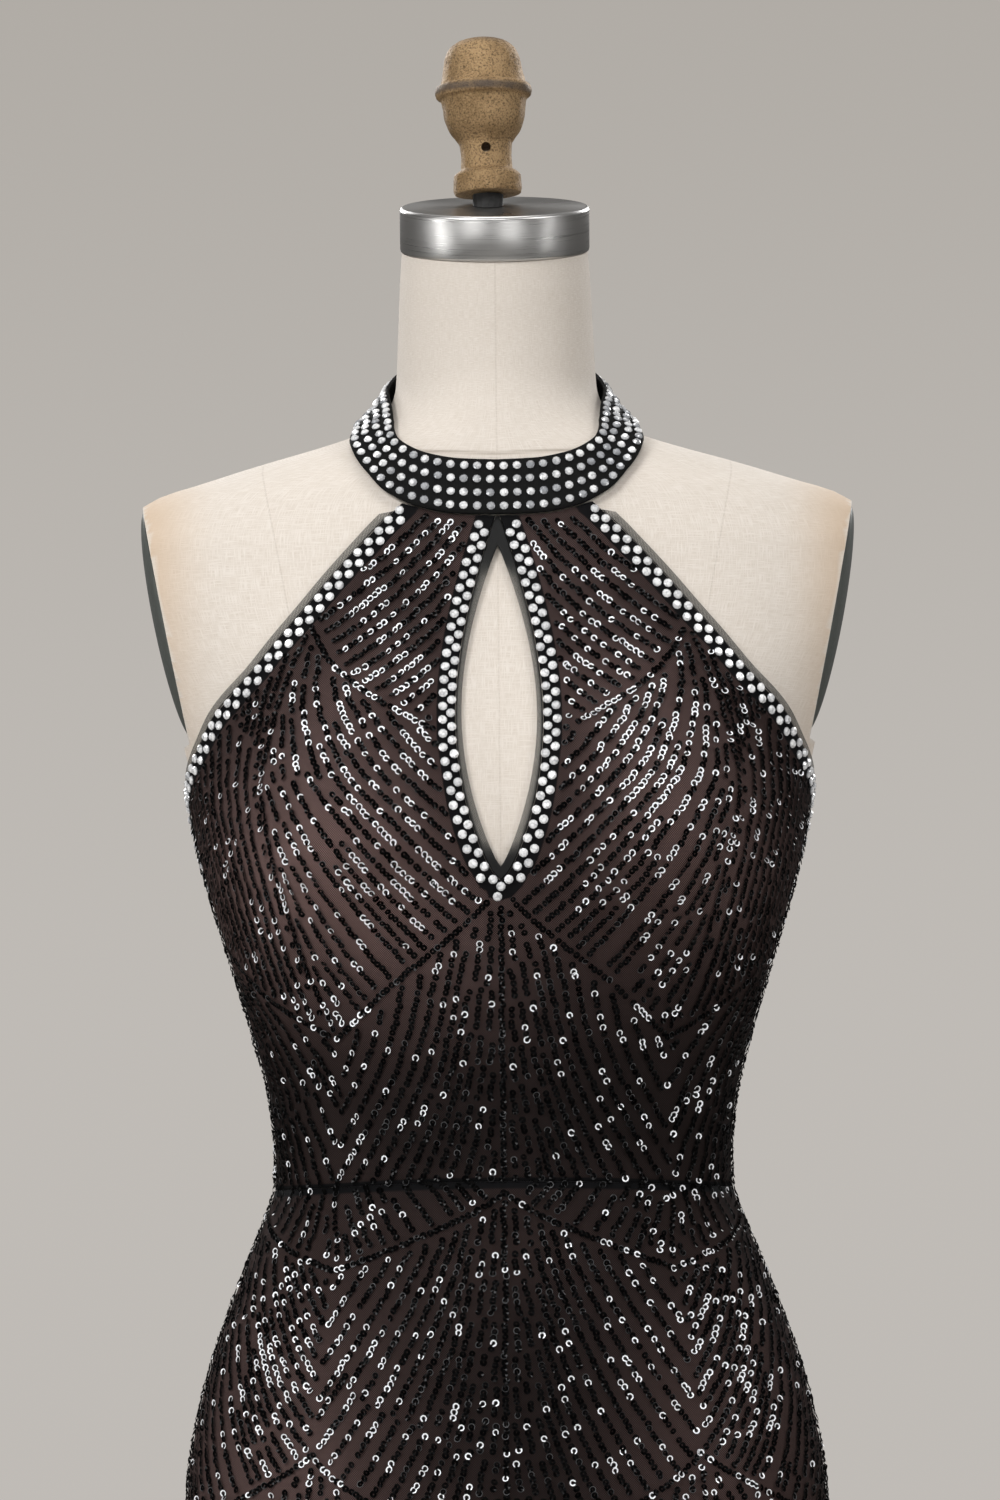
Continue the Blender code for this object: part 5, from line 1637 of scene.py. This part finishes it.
def stone_template():
    """A flat-back stone: an upright girdle, a ring of slanted facets and a table."""
    steps = 9
    angle = np.arange(steps) * 2 * pi / steps
    ring = np.stack([np.cos(angle), np.sin(angle), np.zeros(steps)], -1)
    low = ring * STONE_RADIUS
    girdle = low + (0, 0, 0.0006)
    table = ring * STONE_RADIUS * 0.60 + (0, 0, 0.0017)
    i = np.arange(steps)
    j = (i + 1) % steps
    walls = [np.stack([i, j, steps + j], -1), np.stack([i, steps + j, steps + i], -1)]
    upper = 2 * steps + i
    facets = [np.stack([steps + i, steps + j, upper], -1), np.stack([steps + j, 2 * steps + j, upper], -1)]
    fan = np.stack([np.full(steps - 2, 2 * steps), 2 * steps + i[1:-1], 2 * steps + i[2:]], -1)
    # painted light for each facet: the table lightest, the slanted facets less, the girdle darkest
    painted_facet_light = np.repeat((0.2, 0.7, 1.0), steps)
    return np.concatenate([low, girdle, table]), np.concatenate([*walls, *facets, fan]), painted_facet_light


def spaced_out(points, normals, gap):
    """Leaves out each point that lies nearer than a gap to one already kept."""
    kept = []
    for i, p in enumerate(points):
        if not kept or np.linalg.norm(points[kept] - p, axis=1).min() > gap:
            kept.append(i)
    return points[kept], normals[kept]


def set_stones(name, points, normals, size=1.0, dimmest_glint=0.55):
    count = len(points)
    tangent = np.cross(normals, np.tile((0.3, 0.2, 1.0), (count, 1)))
    lean, roll = random.normal(0, 0.05, count), random.normal(0, 0.05, count)
    x, y, n = turned_frames(normals, unit(tangent), lean, roll, random.uniform(0, 2 * pi, count))
    # each stone's painted glint, from the lowest given up to full; the collar's stones get less
    painted_glint = random.uniform(dimmest_glint, 1.0, count)
    made = scatter(name, stone_template(), points, x, y, n, painted_glint, STONE, size=np.full(count, size))
    made.data.shade_flat()
    return made


def row_beside(line, sideways, offset, side, pitch, last=1.0):
    """Points in a row beside an edge, with a steady pitch."""
    count = int(line.length * last / pitch)
    t = (np.arange(count) + 0.5 + offset) / count * last
    t = t[t < last]
    wobble = random.normal(0, 0.0002, len(t))
    points, normals = beside(line, t, sideways + wobble * np.sign(sideways), CLEARANCE + CLOTH + 0.0002)
    seen = under_collar_mask(points)
    return points[seen] * (side, 1, 1), normals[seen] * (side, 1, 1)


def stones_round_tip():
    """The two rows of stones where they turn round the keyhole's lower tip."""
    placed = []
    for away, count in zip(STONE_ROWS, (1, 3)):
        for angle in np.radians(np.linspace(-118, -62, count + 2)[1:-1]):
            x, z = away * cos(angle) * 1.15, CUT_LOW + away * sin(angle) * 1.15
            turn = turn_at(x, z)
            placed.append((above(turn, z, CLEARANCE + CLOTH + 0.0002), outward(turn, z)))
    return tuple(np.array([each[k] for each in placed]) for k in (0, 1))


def make_stones():
    rows = {"stones_keyhole": [], "stones_edge_left": [], "stones_edge_right": []}
    for i, away in enumerate(STONE_ROWS):
        for side in (1, -1):
            rows["stones_keyhole"].append(row_beside(KEYHOLE, -away, 0.5 * i, side, KEYHOLE_STONE_PITCH))
        for side, name in ((-1, "stones_edge_left"), (1, "stones_edge_right")):
            rows[name].append(row_beside(HALTER, away, 0.5 * i, side, EDGE_STONE_PITCH))
            rows[name].append(row_beside(BACK, -away, 0.5 * i, side, EDGE_STONE_PITCH, 0.985))
    rows["stones_keyhole"].insert(0, stones_round_tip())
    for name, parts in rows.items():
        points, normals = (np.concatenate([part[k] for part in parts]) for k in (0, 1))
        points, normals = spaced_out(points, normals, 0.0050)
        turn = np.degrees(np.arctan2(points[:, 0], -points[:, 1]))
        out = creasing(turn, points[:, 2])
        set_stones(name, points + normals * out[:, None], normals)
    make_collar_stones()


def make_collar_stones():
    points, normals = [], []
    for i, v in enumerate((0.13, 0.375, 0.625, 0.87)):
        dense = np.linspace(-177.5, 177.5, 1500)
        steps = np.linalg.norm(np.diff(collar_points(dense, v), axis=0), axis=1)
        walked = np.concatenate([[0], np.cumsum(steps)])
        count = int(walked[-1] / 0.0072)
        at = (np.arange(count) + 0.5 + 0.5 * (i % 2)) / count * walked[-1]
        at = at[at < walked[-1]]
        bearing = np.interp(at, walked, dense) + random.normal(0, 0.12, len(at))
        centre = collar_points(bearing, v)
        around = collar_points(bearing + 0.4, v) - collar_points(bearing - 0.4, v)
        up = collar_points(bearing, v + 0.02) - collar_points(bearing, v - 0.02)
        normal = unit(np.cross(around, up))
        points.append(centre + normal * 0.0002)
        normals.append(normal)
    set_stones("stones_collar", np.concatenate(points), np.concatenate(normals), COLLAR_STONE_SIZE, 0.15)


# ---- Zip ----


def make_zip():
    z = np.linspace(ZIP_BOTTOM + SEAM, ZIP_TOP, 120)[:, None]
    across = np.linspace(-1, 1, 9)[None]
    turn = 180 + np.degrees(ZIP_HALF / section(z)[0]) * across
    rise = 0.0004 * (1 - across**2)
    points = above(turn, z, CLEARANCE + CLOTH * 0.7 + rise)
    tape = mesh_object("zip_tape_strip", points, grid_faces(120, 9), arc_uv(points))
    give_thickness(tape, TAPE_SHELL)
    dress(tape, TAPE, "back_zip", "zip_tape")
    heights = np.arange(ZIP_BOTTOM + 0.003, ZIP_TOP - 0.002, 0.0011)
    side = np.where(np.arange(len(heights)) % 2 == 0, 1, -1)
    turns = 180 + np.degrees(0.00045 / section(heights)[0]) * side
    place = above(turns, heights, CLEARANCE + CLOTH * 0.7 + 0.0005)
    normal = outward(turns, heights)
    x = np.tile((1.0, 0.0, 0.0), (len(heights), 1))
    y = np.cross(normal, x)
    mesh = bmesh.new()
    bmesh.ops.create_cube(mesh, size=1.0)
    bmesh.ops.bevel(mesh, geom=mesh.edges[:], offset=0.12, segments=1, affect="EDGES")
    bmesh.ops.triangulate(mesh, faces=mesh.faces[:])
    mesh.verts.ensure_lookup_table()
    points = np.array([v.co for v in mesh.verts]) * (0.0020, 0.0007, 0.0008)
    faces = np.array([[v.index for v in face.verts] for face in mesh.faces])
    mesh.free()
    tooth = (points, faces, np.ones(len(points)))
    teeth = scatter("zip_teeth", tooth, place, x, y, normal, np.zeros(len(heights)), ZIP, "zip_metal")
    return tape, teeth


# ---- Form and stand ----


# turn and height of the form's neck seam
NECK_SEAM = (
    (0, 1.4580),
    (25, 1.4610),
    (50, 1.4700),
    (75, 1.4810),
    (105, 1.4900),
    (140, 1.5000),
    (180, 1.5030),
)


def canvas_values(turn, z):
    """Signed distances to the form's seams, and how much warmer and darker the canvas is made towards the
    arms.
    """
    points = skin(turn, z)
    x = points[..., 0]
    facing = np.cos(np.radians(turn))
    princess = np.interp(z, (0.78, 1.06, 1.20, 1.34, 1.39, 1.452), (0.075, 0.070, 0.090, 0.108, 0.117, 0.129))
    neck_turns, neck_heights = np.transpose(NECK_SEAM)
    neck = np.interp(np.abs(turn), neck_turns, neck_heights)
    half_width = section(z)[0]
    values = {
        "seam_front": np.where(np.abs(facing) > 0.2, x, 1.0),
        "seam_princess": np.where(z < 1.462, np.abs(x) - princess, 1.0),
        "seam_neck": z - neck,
        "seam_side": np.where(z < 1.29, np.radians(np.abs(turn) - 90) * half_width * 0.7, 1.0),
        "arm_tint": smoothstep((np.abs(x) - 0.150) / 0.05) * smoothstep((z - 1.25) / 0.06) * 0.9,
    }
    return values


def boolean_cut(made, cutters):
    for cutter in cutters:
        cut = made.modifiers.new("Cut", "BOOLEAN")
        cut.operation = "DIFFERENCE"
        cut.object = cutter
    bpy.context.view_layer.update()
    data = bpy.data.meshes.new_from_object(made.evaluated_get(bpy.context.evaluated_depsgraph_get()))
    made.modifiers.clear()
    made.data = data
    for cutter in cutters:
        bpy.data.objects.remove(cutter, do_unlink=True)


def from_bmesh(name, mesh):
    data = bpy.data.meshes.new(name)
    mesh.to_mesh(data)
    mesh.free()
    made = bpy.data.objects.new(name, data)
    bpy.context.scene.collection.objects.link(made)
    return made


def arm_cutter(side):
    mesh = bmesh.new()
    bmesh.ops.create_cube(mesh, size=0.3)
    lowest = (ARM_CUT_LOW - ARM_CUT_Z) / cos(ARM_LEAN)
    bmesh.ops.translate(mesh, verts=mesh.verts[:], vec=(0.15, 0, lowest + 0.15))
    bmesh.ops.transform(mesh, matrix=Matrix.Rotation(ARM_LEAN, 4, "Y"), verts=mesh.verts[:])
    bmesh.ops.translate(mesh, verts=mesh.verts[:], vec=(ARM_CUT_X, 0, ARM_CUT_Z))
    if side < 0:
        bmesh.ops.scale(mesh, vec=(-1, 1, 1), verts=mesh.verts[:])
        bmesh.ops.reverse_faces(mesh, faces=mesh.faces[:])
    return from_bmesh("arm_cutter", mesh)


def make_form():
    columns = 150
    trunk = np.linspace(FORM_BOTTOM, 1.30, 70, endpoint=False)
    shoulders = np.linspace(1.30, 1.52, 80, endpoint=False)
    heights = np.concatenate([trunk, shoulders, np.linspace(1.52, NECK_TOP, 10)])
    turns = np.linspace(-180, 180, columns, endpoint=False)[None]
    z = heights[:, None]
    points = skin(turns, z)
    rows = len(heights)
    bottom, top = points[0].mean(axis=0), points[-1].mean(axis=0)
    values = canvas_values(*np.broadcast_arrays(turns, z))
    flat = points.reshape(-1, 3)
    faces = grid_faces(rows, columns, closed=True)
    u = np.broadcast_to(np.radians(turns) * 0.15, points.shape[:2])
    v = np.broadcast_to(z, points.shape[:2])
    made = mesh_object("form_canvas", flat, faces, np.stack([u, v], -1), values)
    mesh = bmesh.new()
    mesh.from_mesh(made.data)
    bmesh.ops.holes_fill(mesh, edges=mesh.edges[:], sides=0)
    bmesh.ops.recalc_face_normals(mesh, faces=mesh.faces[:])
    mesh.to_mesh(made.data)
    mesh.free()
    boolean_cut(made, [arm_cutter(-1), arm_cutter(1)])
    made.data.shade_smooth()
    made.data.set_sharp_from_angle(angle=radians(38))
    return dress(made, CANVAS, "form_body", "linen_canvas")


def turned_piece(name, profile, steps):
    """A profile of radius and height, from the top down, turned round the vertical axis."""
    profile = np.array(profile)
    angle = np.linspace(0, 2 * pi, steps, endpoint=False)
    ring = np.stack([np.cos(angle), np.sin(angle)], -1)
    heights = np.repeat(profile[:, None, 1:], steps, axis=1)
    points = np.concatenate([profile[:, None, :1] * ring[None], heights], -1)
    made = mesh_object(name, points[::-1], grid_faces(len(profile), steps, closed=True))
    mesh = bmesh.new()
    mesh.from_mesh(made.data)
    bmesh.ops.remove_doubles(mesh, verts=mesh.verts[:], dist=0.000001)
    bmesh.ops.recalc_face_normals(mesh, faces=mesh.faces[:])
    mesh.to_mesh(made.data)
    mesh.free()
    made.data.shade_smooth()
    return made


def rounded_profile(rows, count):
    """A smooth curve through a profile's rows."""
    rows = np.array(rows)
    steps = np.linalg.norm(np.diff(rows, axis=0), axis=1)
    walked = np.concatenate([[0], np.cumsum(steps)])
    at = np.unique(np.concatenate([np.linspace(0, walked[-1], count), walked]))
    return np.stack([smoothed(walked, rows[:, k], at) for k in (0, 1)], -1)


def settle(made, rotation, place):
    made.data.transform(Matrix.Translation(place) @ rotation)


def cap_axis():
    return Vector((0, -sin(NECK_TILT), cos(NECK_TILT)))


def cap_foot():
    side = float(section(NECK_TOP)[3])
    return Vector((0, side, NECK_TOP)) + cap_axis() * SEAM


def make_cap():
    edge = 0.0022
    bend = np.linspace(0, pi / 2, 9)
    corner = [(CAP_RADIUS - edge * (1 - sin(a)), CAP_HEIGHT - edge * (1 - cos(a))) for a in bend]
    flat = [(r, CAP_HEIGHT) for r in np.linspace(0.0, CAP_RADIUS - edge * 1.05, 14)]
    foot = [(CAP_RADIUS, 0.0016), (CAP_RADIUS - 0.0004, 0.0004), (CAP_RADIUS - 0.0012, 0.0)]
    made = turned_piece("neck_disc", [*flat, *corner, *foot, (0.0, 0.0)], 128)
    made.data.set_sharp_from_angle(angle=radians(50))
    settle(made, Matrix.Rotation(NECK_TILT, 4, "X"), cap_foot())
    return dress(made, STEEL, "neck_cap", "neck_steel")


def make_finial():
    made = turned_piece("finial_turned", rounded_profile(FINIAL_PROFILE, 90), 96)
    for vertex in made.data.vertices:
        where = vertex.co * 160
        dent = noise.noise(where) * 0.6 + noise.noise(where * 2.3) * 0.4
        away = Vector((vertex.co.x, vertex.co.y, 0))
        if away.length > 0.004:
            vertex.co += away.normalized() * dent * 0.00045
    mesh = bmesh.new()
    radii = {"radius1": PIN_HOLE_RADIUS, "radius2": PIN_HOLE_RADIUS}
    bmesh.ops.create_cone(mesh, cap_ends=True, segments=24, depth=0.1, **radii)
    bmesh.ops.rotate(mesh, verts=mesh.verts[:], matrix=Matrix.Rotation(pi / 2, 3, "X"))
    bmesh.ops.translate(mesh, verts=mesh.verts[:], vec=(0, 0, PIN_HOLE_Z))
    boolean_cut(made, [from_bmesh("pin_drill", mesh)])
    made.data.shade_smooth()
    made.data.set_sharp_from_angle(angle=radians(50))
    foot = cap_foot()
    place = (FINIAL_X, foot.y + cap_axis().y * CAP_HEIGHT, FINIAL_BOTTOM)
    settle(made, Matrix.Rotation(FINIAL_LEAN, 4, "Y"), place)
    return dress(made, GOLD, "finial", "finial_gold")


def make_plate(side, name, node):
    """A shallow oval dome on the arm cut, with a polished edge."""
    steps, rings = 72, 18
    angle = np.linspace(0, 2 * pi, steps, endpoint=False)
    share = np.sin(np.linspace(0, pi / 2, rings))
    low = 0.12
    x = PLATE_BULGE * (np.sqrt(np.maximum(1 - share**2 * (1 - low**2), 0)) - low)
    y = share[:, None] * PLATE_HALF_DEPTH * np.cos(angle)
    z = share[:, None] * PLATE_HALF_HEIGHT * np.sin(angle)
    points = np.stack([np.broadcast_to(x[:, None], (rings, steps)), y, z], -1)
    wall = points[-1:].copy()
    wall[..., 0] = 0.0
    points = np.concatenate([points, wall])
    points[..., 0] += SEAM
    made = mesh_object(name, points, grid_faces(rings + 1, steps, closed=True))
    weld(made)
    mesh = bmesh.new()
    mesh.from_mesh(made.data)
    bmesh.ops.holes_fill(mesh, edges=mesh.edges[:], sides=0)
    bmesh.ops.transform(mesh, matrix=Matrix.Rotation(ARM_LEAN, 4, "Y"), verts=mesh.verts[:])
    place = (ARM_CUT_X + ARM_CUT_SLOPE * (PLATE_Z - ARM_CUT_Z), PLATE_Y, PLATE_Z)
    bmesh.ops.translate(mesh, verts=mesh.verts[:], vec=place)
    if side < 0:
        bmesh.ops.scale(mesh, vec=(-1, 1, 1), verts=mesh.verts[:])
    bmesh.ops.recalc_face_normals(mesh, faces=mesh.faces[:])
    mesh.to_mesh(made.data)
    mesh.free()
    made.data.shade_smooth()
    made.data.set_sharp_from_angle(angle=radians(45))
    return dress(made, PLATE, node, "plate_grey")


def make_base():
    made = turned_piece("base_disc", rounded_profile(BASE_PROFILE, 60), 128)
    made.data.set_sharp_from_angle(angle=radians(50))
    return dress(made, BASE, "stand_base", "base_black")


def repaint(node, material):
    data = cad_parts[node].data
    data.materials.clear()
    data.materials.append(material)


def declare_sheet(piece, width, length):
    """Works out the part of a cut rectangle of cloth that a piece takes, and keeps nothing of it."""
    area = min(area_of(piece), width * length)


def main():
    make_world()
    make_camera()
    make_lights()
    make_floor()
    front = make_bodice_front()
    back_left = make_bodice_back(-1, "bodice_back_left_cloth", "back_bodice_left")
    back_right = make_bodice_back(1, "bodice_back_right_cloth", "back_bodice_right")
    skirt = make_skirt()
    collar = make_collar()
    net_left = make_edge_net(-1, "edge_net_left", "edge_binding_left")
    net_right = make_edge_net(1, "edge_net_right", "edge_binding_right")
    keyhole = make_keyhole_net()
    make_sequins()
    make_stones()
    tape, _ = make_zip()
    form = make_form()
    make_cap()
    make_finial()
    make_plate(-1, "arm_oval_left", "arm_plate_left")
    make_plate(1, "arm_oval_right", "arm_plate_right")
    make_base()
    repaint("finial_stem", STEM)
    repaint("stand_pole", POLE)
    repaint("zip_slider", ZIP)
    repaint("zip_pull", ZIP)
    declare_sheet(front, 0.50, 0.37)
    for piece in (back_left, back_right):
        declare_sheet(piece, 0.19, 0.185)
    declare_sheet(skirt[0], 1.30, 1.05)
    declare_sheet(skirt[1], 0.66, 1.05)
    declare_sheet(skirt[2], 0.66, 1.05)
    declare_sheet(collar, 0.43, 0.041)
    declare_sheet(net_left, 0.53, 0.010)
    declare_sheet(net_right, 0.53, 0.010)
    declare_sheet(keyhole, 0.44, 0.012)
    declare_sheet(tape, 0.012, 0.22)


main()
